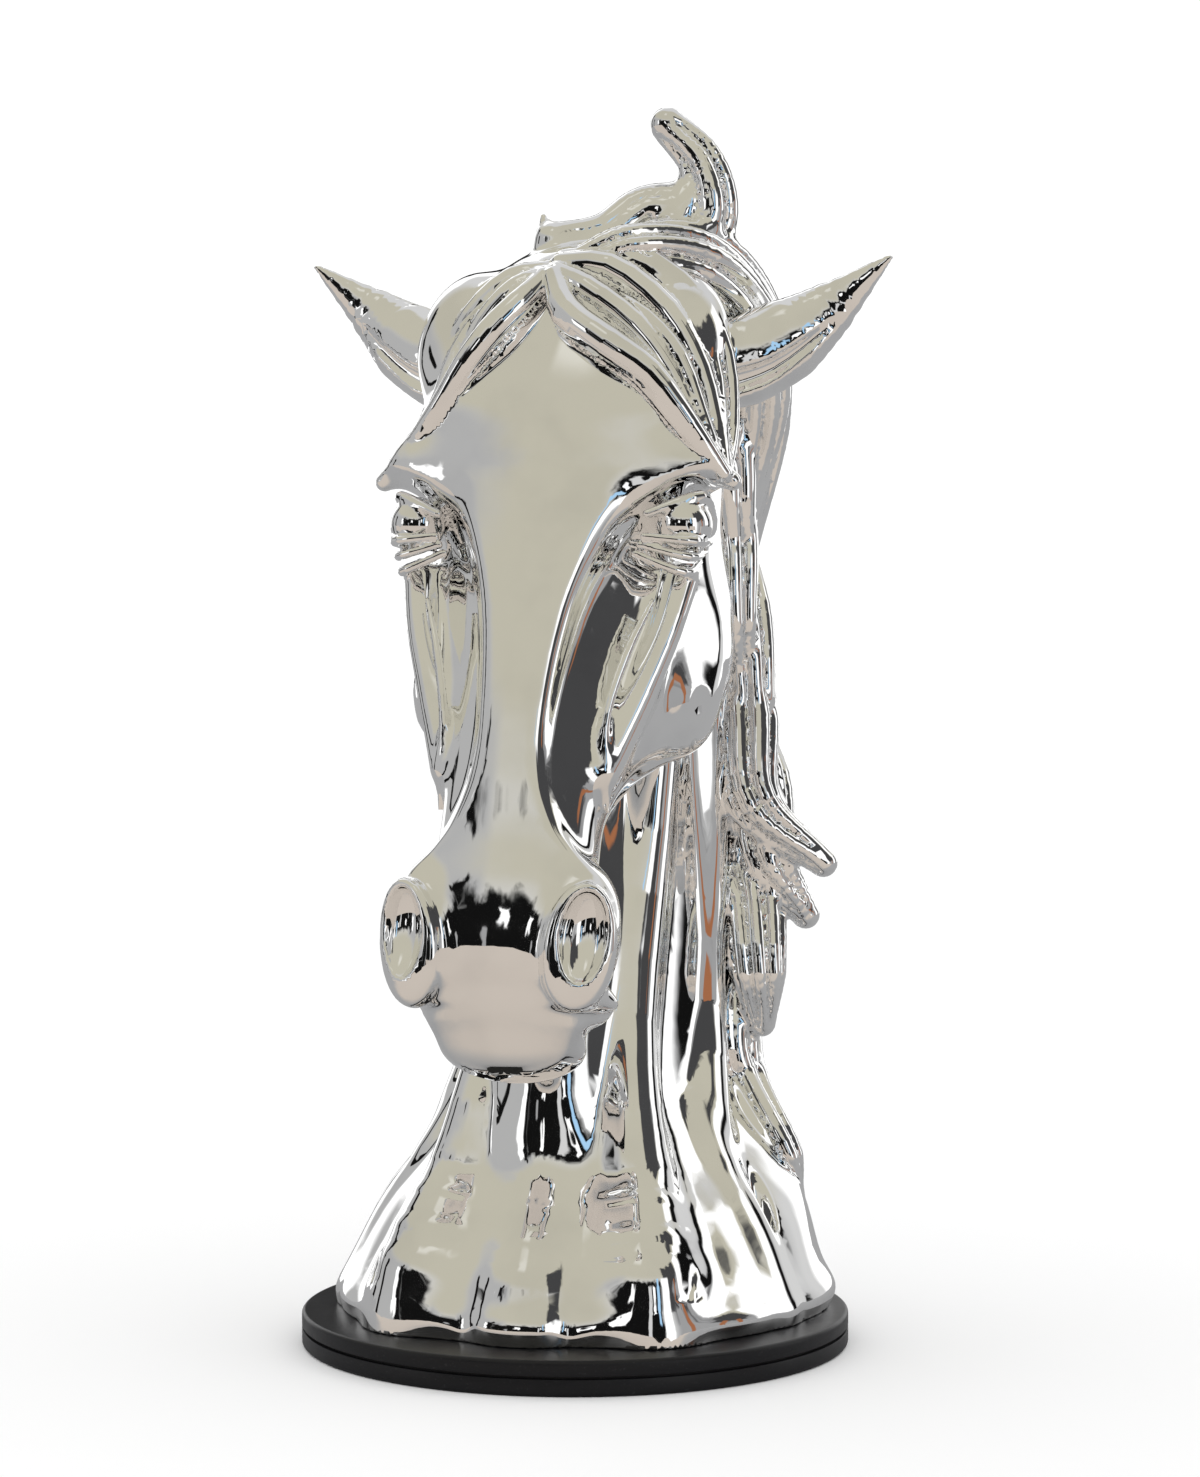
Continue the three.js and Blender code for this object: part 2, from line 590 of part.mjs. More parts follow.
function cast(depth, xs, ys, zs) {
  const [nx, ny, nz] = [xs.length, ys.length, zs.length];
  const at = (i, j, k) => i + nx * (j + ny * k);
  const values = new Float64Array(nx * ny * nz);
  for (let k = 0; k < nz; k += 1) {
    for (let j = 0; j < ny; j += 1) {
      for (let i = 0; i < nx; i += 1) values[at(i, j, k)] = depth(xs[i], ys[j], zs[k]);
    }
  }

  closeDiagonals(values, at, [nx, ny, nz]);

  // In each cell that the surface crosses, one vertex for each sheet of it, at the mean of the
  // sheet's edge crossings. An edge of the cell is numbered by its axis and its side.
  const sheets = new Map();
  const vertices = [];
  const lines = [xs, ys, zs];
  const cellSheets = (cell) => {
    const key = at(...cell);
    if (!sheets.has(key)) sheets.set(key, findSheets(cell));
    return sheets.get(key);
  };
  const findSheets = (cell) => {
    const crossings = Array.from({ length: 12 }, (_, edge) => {
      const [axis, side] = [edge >> 2, edge & 3];
      const start = [...cell];
      start[(axis + 1) % 3] += side & 1;
      start[(axis + 2) % 3] += side >> 1;
      const end = start.map((c, a) => c + (a === axis ? 1 : 0));
      const [from, to] = [values[at(...start)], values[at(...end)]];
      if (from < 0 === to < 0) return null;
      const share = from / (from - to);
      return start.map((c, a) => lines[a][c] + (a === axis ? share * (lines[a][c + 1] - lines[a][c]) : 0));
    });
    const sheet = crossings.map((_, edge) => edge);
    const join = (a, b) => {
      const [from, to] = [sheet[a], sheet[b]];
      sheet.forEach((own, edge) => (sheet[edge] = own === from ? to : own));
    };
    for (let face = 0; face < 6; face += 1) {
      const [normal, far] = [face >> 1, face & 1];
      const [u, v] = [(normal + 1) % 3, (normal + 2) % 3];
      const alongU = (offset) => u * 4 + offset + 2 * far;
      const alongV = (offset) => v * 4 + far + 2 * offset;
      const crossed = [alongU(0), alongU(1), alongV(0), alongV(1)].filter((edge) => crossings[edge]);
      if (crossed.length === 2) join(...crossed);
    }
    const vertexOf = new Map();
    for (const own of new Set(sheet)) {
      const points = crossings.filter((point, edge) => point && sheet[edge] === own);
      if (points.length === 0) continue;
      const mean = [0, 1, 2].map((c) => points.reduce((sum, p) => sum + p[c], 0) / points.length);
      vertexOf.set(own, vertices.push(settle(depth, mean)) - 1);
    }
    return sheet.map((own) => vertexOf.get(own));
  };

  // a pair of triangles round each grid edge that the surface crosses
  const triangles = [];
  for (let k = 1; k < nz - 1; k += 1) {
    for (let j = 1; j < ny - 1; j += 1) {
      for (let i = 1; i < nx - 1; i += 1) {
        const inside = values[at(i, j, k)] < 0;
        for (let axis = 0; axis < 3; axis += 1) {
          const cell = [i, j, k];
          const next = cell.map((c, a) => c + (a === axis ? 1 : 0));
          if (inside === values[at(...next)] < 0) continue;
          const ring = [[0, 0], [1, 0], [1, 1], [0, 1]].map(([u, v]) => {
            const around = [...cell];
            around[(axis + 1) % 3] -= u;
            around[(axis + 2) % 3] -= v;
            return cellSheets(around)[axis * 4 + u + 2 * v];
          });
          if (!inside) ring.reverse();
          triangles.push(...splitQuad(ring, vertices));
        }
      }
    }
  }
  return { vertices, triangles };
}

// Fills a corner of each cell face that is solid at two opposite corners only, so that no two
// sheets of the surface meet along an edge
function closeDiagonals(values, at, counts) {
  const filled = -1e-3;
  let open = true;
  while (open) {
    open = false;
    for (let k = 0; k < counts[2] - 1; k += 1) {
      for (let j = 0; j < counts[1] - 1; j += 1) {
        for (let i = 0; i < counts[0] - 1; i += 1) {
          for (let normal = 0; normal < 3; normal += 1) {
            const corners = [[0, 0], [1, 0], [1, 1], [0, 1]].map(([du, dv]) => {
              const corner = [i, j, k];
              corner[(normal + 1) % 3] += du;
              corner[(normal + 2) % 3] += dv;
              return at(...corner);
            });
            const solid = corners.map((corner) => values[corner] < 0);
            if (solid[0] !== solid[2] || solid[1] !== solid[3] || solid[0] === solid[1]) continue;
            const [a, b] = corners.filter((_, c) => !solid[c]);
            values[values[a] < values[b] ? a : b] = filled;
            open = true;
          }
        }
      }
    }
  }
}

// The faces of the biggest shell that hangs together by its edges, without crumbs and pockets
function largestShell(faces) {
  const parent = faces.map((_, f) => f);
  const root = (f) => {
    let at = f;
    while (parent[at] !== at) at = parent[at];
    parent[f] = at;
    return at;
  };
  const faceAt = new Map();
  faces.forEach((face, f) => {
    face.forEach((from, corner) => {
      const to = face[(corner + 1) % 3];
      const across = faceAt.get(`${to} ${from}`);
      if (across !== undefined) parent[root(across)] = root(f);
      faceAt.set(`${from} ${to}`, f);
    });
  });
  const sizes = new Map();
  faces.forEach((_, f) => sizes.set(root(f), (sizes.get(root(f)) ?? 0) + 1));
  const [biggest] = [...sizes].reduce((best, entry) => (entry[1] > best[1] ? entry : best));
  return faces.filter((_, f) => root(f) === biggest);
}

const minus = (a, b) => [a[0] - b[0], a[1] - b[1], a[2] - b[2]];
const dot = (a, b) => a[0] * b[0] + a[1] * b[1] + a[2] * b[2];
const cross = (a, b) => [
  a[1] * b[2] - a[2] * b[1],
  a[2] * b[0] - a[0] * b[2],
  a[0] * b[1] - a[1] * b[0],
];
const gap = (a, b) => Math.hypot(...minus(a, b));
const facing = (a, b, c) => cross(minus(b, a), minus(c, a));

// A quad as two triangles, along its shorter diagonal
function splitQuad([a, b, c, d], vertices) {
  return gap(vertices[a], vertices[c]) <= gap(vertices[b], vertices[d])
    ? [a, b, c, a, c, d]
    : [a, b, d, b, c, d];
}

// Thins the mesh to about the wanted number of triangles. The edge whose loss changes the form
// least goes first, one of its ends taking the place of the other.
const THINNING = { evenness: 0.004, turn: 0.35 };

function thin({ vertices, triangles }, wanted) {
  const faces = Array.from({ length: triangles.length / 3 }, (_, f) => triangles.slice(3 * f, 3 * f + 3));
  const facesOf = vertices.map(() => new Set());
  faces.forEach((face, f) => face.forEach((v) => facesOf[v].add(f)));
  const planes = faces.map(([a, b, c]) => {
    const normal = facing(vertices[a], vertices[b], vertices[c]);
    const area = Math.hypot(...normal);
    const unit = normal.map((v) => v / area);
    return { unit, offset: -dot(unit, vertices[a]), area };
  });
  // each vertex gathers the planes of the form that it stands for
  const planesOf = facesOf.map((own) => [...own].map((f) => planes[f]));
  const version = vertices.map(() => 0);
  const loss = (kept, gone) =>
    planesOf[gone].reduce((sum, { unit, offset, area }) => {
      const away = dot(unit, vertices[kept]) + offset;
      return sum + area * away * away;
    }, 0) +
    THINNING.evenness * gap(vertices[kept], vertices[gone]) ** 2;
  const neighbours = (v) => new Set([...facesOf[v]].flatMap((f) => faces[f]).filter((w) => w !== v));
  const queue = [];
  const swap = (a, b) => ([queue[a], queue[b]] = [queue[b], queue[a]]);
  const push = (entry) => {
    let at = queue.push(entry) - 1;
    while (at > 0 && queue[(at - 1) >> 1].cost > queue[at].cost) {
      swap(at, (at - 1) >> 1);
      at = (at - 1) >> 1;
    }
  };
  const pop = () => {
    swap(0, queue.length - 1);
    const least = queue.pop();
    let at = 0;
    for (;;) {
      let child = 2 * at + 1;
      if (child + 1 < queue.length && queue[child + 1].cost < queue[child].cost) child += 1;
      if (child >= queue.length || queue[at].cost <= queue[child].cost) return least;
      swap(at, child);
      at = child;
    }
  };
  const offer = (gone, kept) =>
    push({ cost: loss(kept, gone), gone, kept, stamp: version[gone] + version[kept] });
  vertices.forEach((_, v) => neighbours(v).forEach((w) => offer(v, w)));

  let count = faces.length;
  while (count > wanted && queue.length > 0) {
    const { gone, kept, stamp } = pop();
    if (facesOf[gone].size === 0 || facesOf[kept].size === 0) continue;
    if (stamp !== version[gone] + version[kept]) continue;
    const around = neighbours(gone);
    const shared = [...neighbours(kept)].filter((v) => around.has(v));
    if (shared.length !== 2) continue;
    const moved = [...facesOf[gone]].filter((f) => !faces[f].includes(kept));
    const folds = moved.some((f) => {
      const before = facing(...faces[f].map((v) => vertices[v]));
      const after = facing(...faces[f].map((v) => vertices[v === gone ? kept : v]));
      return dot(before, after) < THINNING.turn * Math.hypot(...before) * Math.hypot(...after);
    });
    if (folds) continue;
    for (const f of facesOf[gone]) {
      if (faces[f].includes(kept)) {
        faces[f].forEach((v) => v !== gone && facesOf[v].delete(f));
        faces[f] = null;
        count -= 1;
      } else {
        faces[f] = faces[f].map((v) => (v === gone ? kept : v));
        facesOf[kept].add(f);
      }
    }
    facesOf[gone].clear();
    planesOf[kept].push(...planesOf[gone]);
    version[kept] += 1;
    for (const v of neighbours(kept)) {
      offer(kept, v);
      offer(v, kept);
    }
  }
  return { vertices, triangles: largestShell(faces.filter(Boolean)).flat() };
}

const SETTLE = { rounds: 3, probe: 0.05, stride: 0.25 };

// Moves a point onto the zero surface, along the slope of the depth
function settle(depth, point) {
  let [x, y, z] = point;
  for (let round = 0; round < SETTLE.rounds; round += 1) {
    const value = depth(x, y, z);
    const slope = [
      depth(x + SETTLE.probe, y, z) - depth(x - SETTLE.probe, y, z),
      depth(x, y + SETTLE.probe, z) - depth(x, y - SETTLE.probe, z),
      depth(x, y, z + SETTLE.probe) - depth(x, y, z - SETTLE.probe),
    ].map((v) => v / (2 * SETTLE.probe));
    const square = Math.max(slope[0] ** 2 + slope[1] ** 2 + slope[2] ** 2, 0.1);
    const step = Math.max(-SETTLE.stride, Math.min(SETTLE.stride, value / square));
    [x, y, z] = [x - slope[0] * step, y - slope[1] * step, z - slope[2] * step];
  }
  return [x, y, z];
}

// Solids that can be cut

const wasm = await Module();
wasm.setup();

function solidOf(geometry) {
  const bare = geometry.clone();
  bare.deleteAttribute('normal');
  bare.deleteAttribute('uv');
  const merged = mergeVertices(bare, 1e-3);
  return new wasm.Manifold(
    new wasm.Mesh({
      numProp: 3,
      vertProperties: merged.getAttribute('position').array,
      triVerts: new Uint32Array(merged.index.array),
    }),
  );
}

function geometryOf(solid) {
  const mesh = solid.getMesh();
  const geometry = new THREE.BufferGeometry();
  geometry.setAttribute('position', new THREE.BufferAttribute(mesh.vertProperties, mesh.numProp));
  geometry.setIndex(new THREE.BufferAttribute(mesh.triVerts, 1));
  geometry.computeVertexNormals();
  return geometry;
}

// The bust

const GRID = {
  x: { low: -18.6, high: 18.6, step: 0.82 },
  y: { low: -20.5, high: 19.5, step: 0.82 },
  z: { low: -3.4, high: 68, lowStep: 1.05, highStep: 0.74 },
};

const BUST_TRIANGLES = 8200;

function bustGeometry() {
  const form = cast(
    figure(),
    gridLines(GRID.x.low, GRID.x.high, GRID.x.step, GRID.x.step),
    gridLines(GRID.y.low, GRID.y.high, GRID.y.step, GRID.y.step),
    gridLines(GRID.z.low, GRID.z.high, GRID.z.lowStep, GRID.z.highStep),
  );
  const { vertices, triangles } = thin(form, BUST_TRIANGLES);
  const used = [...new Set(triangles)];
  const place = new Map(used.map((v, i) => [v, i]));
  const positions = used.flatMap((v) => vertices[v].map((c) => c * MODULE));
  const geometry = new THREE.BufferGeometry();
  geometry.setAttribute('position', new THREE.Float32BufferAttribute(positions, 3));
  geometry.setIndex(triangles.map((v) => place.get(v)));

  // cut flat where it stands on the plinth
  const reach = BUST_HEIGHT;
  const ground = new THREE.BoxGeometry(reach, reach, reach).translate(0, 0, -reach / 2);
  return geometryOf(solidOf(geometry).subtract(solidOf(ground)));
}

// The plinth, turned in one piece with a groove round its edge

function plinthGeometry() {
  const round = (centreRadius, centreHeight, from) =>
    Array.from({ length: ROUNDING_STEPS + 1 }, (_, i) => {
      const angle = from + ((Math.PI / 2) * i) / ROUNDING_STEPS;
      return new THREE.Vector2(
        centreRadius + PLINTH_ROUNDING * Math.cos(angle),
        centreHeight + PLINTH_ROUNDING * Math.sin(angle),
      );
    });
  const shoulder = PLINTH_RADIUS - PLINTH_ROUNDING;
  const profilePoints = [
    new THREE.Vector2(0, 0),
    ...round(shoulder, PLINTH_ROUNDING, -Math.PI / 2),
    new THREE.Vector2(PLINTH_RADIUS, GROOVE_LEVEL - GROOVE_WIDTH / 2),
    new THREE.Vector2(PLINTH_RADIUS - GROOVE_DEPTH, GROOVE_LEVEL - GROOVE_WIDTH / 2),
    new THREE.Vector2(PLINTH_RADIUS - GROOVE_DEPTH, GROOVE_LEVEL + GROOVE_WIDTH / 2),
    new THREE.Vector2(PLINTH_RADIUS, GROOVE_LEVEL + GROOVE_WIDTH / 2),
    ...round(shoulder, PLINTH_HEIGHT - PLINTH_ROUNDING, 0),
    new THREE.Vector2(0, PLINTH_HEIGHT),
  ];
  return new THREE.LatheGeometry(profilePoints, PLINTH_SIDES).rotateX(Math.PI / 2);
}

const chrome = new THREE.MeshStandardMaterial({ color: 0xe8e8ea, roughness: 0.04, metalness: 1 });
const lacquer = new THREE.MeshStandardMaterial({ color: 0x0b0b0c, roughness: 0.35, metalness: 0 });

const sculpture = new THREE.Group();

const plinth = new THREE.Mesh(plinthGeometry(), lacquer);
plinth.name = 'plinth';
sculpture.add(plinth);

const bust = new THREE.Mesh(bustGeometry(), chrome);
bust.name = 'horse_bust';
bust.position.z = PLINTH_HEIGHT;
sculpture.add(bust);

export default sculpture;
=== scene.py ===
"""Looks of a chromed horse head bust on a black plinth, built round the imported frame."""

import json
import logging
import math
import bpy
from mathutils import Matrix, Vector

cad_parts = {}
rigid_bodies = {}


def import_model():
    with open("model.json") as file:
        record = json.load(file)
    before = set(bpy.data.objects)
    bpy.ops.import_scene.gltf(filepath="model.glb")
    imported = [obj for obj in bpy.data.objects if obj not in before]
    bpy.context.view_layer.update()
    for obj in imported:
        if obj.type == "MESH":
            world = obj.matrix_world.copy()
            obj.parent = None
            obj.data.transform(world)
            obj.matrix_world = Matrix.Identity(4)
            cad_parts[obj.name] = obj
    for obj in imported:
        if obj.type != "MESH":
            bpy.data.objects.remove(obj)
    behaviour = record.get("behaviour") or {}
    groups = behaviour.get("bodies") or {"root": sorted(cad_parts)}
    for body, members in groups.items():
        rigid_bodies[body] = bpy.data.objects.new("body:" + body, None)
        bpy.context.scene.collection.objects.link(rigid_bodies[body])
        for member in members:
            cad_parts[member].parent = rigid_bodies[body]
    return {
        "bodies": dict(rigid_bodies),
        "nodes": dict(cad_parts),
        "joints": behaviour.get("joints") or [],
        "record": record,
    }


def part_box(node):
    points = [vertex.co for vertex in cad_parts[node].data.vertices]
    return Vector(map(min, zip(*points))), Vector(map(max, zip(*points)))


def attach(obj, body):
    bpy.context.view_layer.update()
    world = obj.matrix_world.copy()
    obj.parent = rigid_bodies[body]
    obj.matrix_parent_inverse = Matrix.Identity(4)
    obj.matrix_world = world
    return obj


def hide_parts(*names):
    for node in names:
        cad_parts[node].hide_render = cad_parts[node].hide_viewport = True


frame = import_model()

from concurrent.futures import ThreadPoolExecutor
from dataclasses import dataclass, field
from enum import Enum
from typing import Any, Callable, Sequence

import bpy
import numpy as np
from mathutils import Vector

Array = np.ndarray
Triple = tuple[float, float, float]
Depth = Callable[[Array], Array]

log = logging.getLogger("horse_head")

MODULE = 0.01  # the figure is carved in modules of 10 mm, and 66 of them make its height
PLINTH_TOP = 0.019
HEAD_PITCH = math.radians(26)
POLL_Y, POLL_Z = 3.5, 56.5
SIN, COS = math.sin(HEAD_PITCH), math.cos(HEAD_PITCH)
TINY = 1e-9  # keeps a division away from nought
MIDDLE = 1e-3  # the share of an oval that counts as its very middle
ASKEW = (0.31, 0.52, 0.79)  # a direction that no limb runs along
HAIRSBREADTH = 1e-5  # metres: edges nearer than this lie on one level


def smooth_min(a: Array, b: Array, blend: float) -> Array:
    """Joins two depths as pressed clay joins.

    Args:
        a: Depths inside one form.
        b: Depths inside the other.
        blend: How wide the join is.

    Returns:
        The joined depths.
    """
    near = np.maximum(blend - np.abs(a - b), 0.0) / blend
    return np.minimum(a, b) - near * near * (blend / 4)


def smooth_max(a: Array, b: Array, blend: float) -> Array:
    """The opposite of smooth_min, for cutting."""
    return -smooth_min(-a, -b, blend)


def to_head(points: Array) -> Array:
    """Turns figure coordinates into the head's own: x, n out of the face, s down the face."""
    x, y, z = points
    y, z = y - POLL_Y, z - POLL_Z
    return np.stack([x, -y * COS + z * SIN, -y * SIN - z * COS])


def from_head(point: Sequence[float]) -> Triple:
    """Turns one point of the head's frame into figure coordinates."""
    x, n, s = point
    return (x, POLL_Y - s * SIN - n * COS, POLL_Z - s * COS + n * SIN)


class Profile:
    """A smooth profile through rows of station and values."""

    def __init__(self, rows: Sequence[Sequence[float]]) -> None:
        """Keeps the rows and works out their slopes.

        Args:
            rows: One row for each station: the station, then its values.
        """
        table = np.array(rows, float)
        self.stations, self.values = table[:, 0], table[:, 1:]
        before = np.maximum(np.arange(len(table)) - 1, 0)
        after = np.minimum(np.arange(len(table)) + 1, len(table) - 1)
        run = (self.stations[after] - self.stations[before])[:, None]
        self.slopes = (self.values[after] - self.values[before]) / run

    def __call__(self, station: Array) -> Array:
        """Reads the profile.

        Args:
            station: Where to read it.

        Returns:
            One row of values for each column of the table.
        """
        at = np.clip(station, self.stations[0], self.stations[-1])
        i = np.clip(np.searchsorted(self.stations, at, side="right") - 1, 0, len(self.stations) - 2)
        span = self.stations[i + 1] - self.stations[i]
        t = (at - self.stations[i]) / span
        rise = (2 * t - 3) * t * t
        low, high = self.values[i].T, self.values[i + 1].T
        lean = (1 - t) * self.slopes[i].T - t * self.slopes[i + 1].T
        return low * (1 + rise) - high * rise + span * t * (1 - t) * lean


def oval(x: Array, v: Array, half_width: Array, half_depth: Array, squareness: Any) -> Array:
    """Depth inside a squared oval.

    Args:
        x: Distance from its middle, across.
        v: Distance from its middle, along its depth.
        half_width: Half its width.
        half_depth: Half its depth.
        squareness: 2 is an ellipse, and more is squarer.

    Returns:
        The depth, below zero inside.
    """
    a = np.abs(x) / half_width + TINY
    b = np.abs(v) / half_depth + TINY
    size = (a**squareness + b**squareness) ** (1 / squareness)
    scale = size ** (1 - squareness)
    slope = scale * np.hypot(a ** (squareness - 1) / half_width, b ** (squareness - 1) / half_depth)
    return np.where(size < MIDDLE, -np.minimum(half_width, half_depth), (size - 1) / slope)


class Form:
    """A form of clay: centre and radius of the sphere that holds it, and its depth."""

    centre: Array
    radius: float

    def depth(self, points: Array) -> Array:
        """Depth below the form's surface, negative inside, at points given as three rows."""
        raise NotImplementedError


class Ellipsoid(Form):
    """An ellipsoid along the axes."""

    def __init__(self, centre: Sequence[float], radii: Sequence[float]) -> None:
        """Places it.

        Args:
            centre: Its middle.
            radii: Its half sizes.
        """
        self.centre, self.radii = np.array(centre, float), np.array(radii, float)
        self.radius = float(max(radii))

    def depth(self, points: Array) -> Array:
        """Depth below the surface, close to a true distance near it."""
        d = (points - self.centre[:, None]) / self.radii[:, None]
        scaled = np.sqrt((d * d).sum(0))
        slope = np.sqrt(((d / self.radii[:, None]) ** 2).sum(0)) + TINY
        return scaled * (scaled - 1) / slope


@dataclass(frozen=True)
class Strands:
    """Grooves along a lock that part it into strands."""

    count: int = 9
    groove: float = 0.16
    twist: float = 0.0
    phase: float = 0.0
    fade: float = 8  # the grooves are whole within an eighth of the lock's length
    sharpness: float = 1.3


def spline(points: Sequence[Sequence[float]], per_span: int) -> Array:
    """A centripetal Catmull-Rom curve through points.

    Args:
        points: What it goes through.
        per_span: How many steps it takes between two of them.

    Returns:
        The curve's points, one a row.
    """
    p = np.array(points, float)
    ends = [2 * p[0] - p[1], *p, 2 * p[-1] - p[-2]]
    curve = []
    for i in range(1, len(ends) - 2):
        p0, p1, p2, p3 = ends[i - 1 : i + 3]
        t1 = np.linalg.norm(p1 - p0) ** 0.5 + TINY
        t2 = t1 + np.linalg.norm(p2 - p1) ** 0.5 + TINY
        t3 = t2 + np.linalg.norm(p3 - p2) ** 0.5 + TINY
        last = i == len(ends) - 3
        for step in range(per_span + (1 if last else 0)):
            t = t1 + (t2 - t1) * step / per_span
            a1 = p0 * (t1 - t) / t1 + p1 * t / t1
            a2 = p1 * (t2 - t) / (t2 - t1) + p2 * (t - t1) / (t2 - t1)
            a3 = p2 * (t3 - t) / (t3 - t2) + p3 * (t - t2) / (t3 - t2)
            b1 = a1 * (t2 - t) / t2 + a2 * t / t2
            b2 = a2 * (t3 - t) / (t3 - t1) + a3 * (t - t1) / (t3 - t1)
            curve.append(b1 * (t2 - t) / (t2 - t1) + b2 * (t - t1) / (t2 - t1))
    return np.array(curve)


class Limb(Form):
    """A tapered limb along a curve, smooth or parted into strands."""

    def __init__(
        self,
        points: Sequence[Sequence[float]],
        radii: Sequence[float],
        smooth: int = 0,
        flatten: Triple = (1, 1, 1),
        strands: Strands | None = None,
        placed: Callable[[Sequence[float]], Triple] | None = None,
    ) -> None:
        """Works out the limb's spans.

        Args:
            points: What its middle line goes through.
            radii: Its radii, spread evenly along it.
            smooth: Steps between two points, or 0 for straight spans.
            flatten: How much it is thinned along each axis.
            strands: The grooves along it.
            placed: Turns each point into the figure's frame.
        """
        if placed:
            points = [placed(p) for p in points]
        nodes = spline(points, smooth) if smooth else np.array(points, float)
        share = np.linspace(0, len(radii) - 1, len(nodes))
        widths = np.interp(share, np.arange(len(radii)), radii) if smooth else np.array(radii, float)
        self.flatten = np.array(flatten, float)
        self.stretch = float(max(flatten))
        self.strands = strands
        self.nodes, self.widths = nodes, widths
        low, high = nodes.min(0), nodes.max(0)
        self.centre = (low + high) / 2
        self.radius = float(np.linalg.norm(high - self.centre) + widths.max())
        self.across = self._across()

    def _across(self) -> Array:
        """A direction across the limb at each node, carried along it without twisting."""
        runs = np.gradient(self.nodes, axis=0)
        runs /= np.linalg.norm(runs, axis=1)[:, None] + TINY
        side = np.cross(runs[0], ASKEW)
        carried = []
        for run in runs:
            side = side - run * (side @ run)
            side /= np.linalg.norm(side) + TINY
            carried.append(side)
        return np.array(carried)

    def depth(self, points: Array) -> Array:
        """Depth below the limb's surface."""
        nearest = np.full(points.shape[1], np.inf)
        grooved = self.strands is not None
        if grooved:
            radius_at, angle_at, along_at = (np.zeros_like(nearest) for _ in range(3))
        f = self.flatten[:, None]
        count = len(self.nodes) - 1
        for i in range(count):
            start = self.nodes[i]
            run = (self.nodes[i + 1] - start)[:, None] * f
            square = max(float((run * run).sum()), TINY)
            from_start = (points - start[:, None]) * f
            t = np.clip((from_start * run).sum(0) / square, 0, 1)
            off = from_start - run * t
            radius = self.widths[i] + (self.widths[i + 1] - self.widths[i]) * t
            gap = np.sqrt((off * off).sum(0)) - radius
            if not grooved:
                np.minimum(nearest, gap, out=nearest)
                continue
            take = gap < nearest
            nearest[take] = gap[take]
            radius_at[take] = radius[take]
            along_at[take] = (i + t[take]) / count
            part = off[:, take]
            side = self.across[i][:, None] + (self.across[i + 1] - self.across[i])[:, None] * t[take]
            line = (run / math.sqrt(square))[:, 0]
            other = np.cross(line, side.T).T
            angle_at[take] = np.arctan2((part * other).sum(0), (part * side).sum(0))
        if grooved:
            s = self.strands
            wave = np.abs(np.sin(angle_at * s.count / 2 + s.twist * along_at + s.phase))
            fade = np.clip(np.minimum(along_at, 1 - along_at) * s.fade, 0, 1)
            nearest = nearest + radius_at * s.groove * fade * (1 - wave) ** s.sharpness
        return nearest / self.stretch


class Clay:
    """A body of clay, built up by adding and carving forms in order."""

    def __init__(self, core: Depth) -> None:
        """Starts with the core's depth."""
        self.core = core
        self.steps: list[tuple[Form, float, int]] = []

    def add(self, form: Form, blend: float) -> None:
        """Presses a form on, with a join as wide as the blend."""
        self.steps.append((form, blend, 1))

    def carve(self, form: Form, blend: float) -> None:
        """Cuts a form out, with an edge as round as the blend."""
        self.steps.append((form, blend, -1))

    def depth(self, points: Array) -> Array:
        """Depth below the clay's surface."""
        depth = self.core(points)
        low, high = points.min(1), points.max(1)
        for form, blend, sign in self.steps:
            away = np.maximum(np.maximum(low - form.centre, form.centre - high), 0)
            if np.linalg.norm(away) - form.radius > (sign * depth).max() + blend:
                continue
            d = points - form.centre[:, None]
            outside = np.sqrt((d * d).sum(0)) - form.radius
            near = np.flatnonzero(outside <= sign * depth + blend)
            if near.size == 0:
                continue
            own = form.depth(points[:, near])
            if sign > 0:
                depth[near] = smooth_min(depth[near], own, blend)
            else:
                depth[near] = smooth_max(depth[near], -own, blend)
        return depth


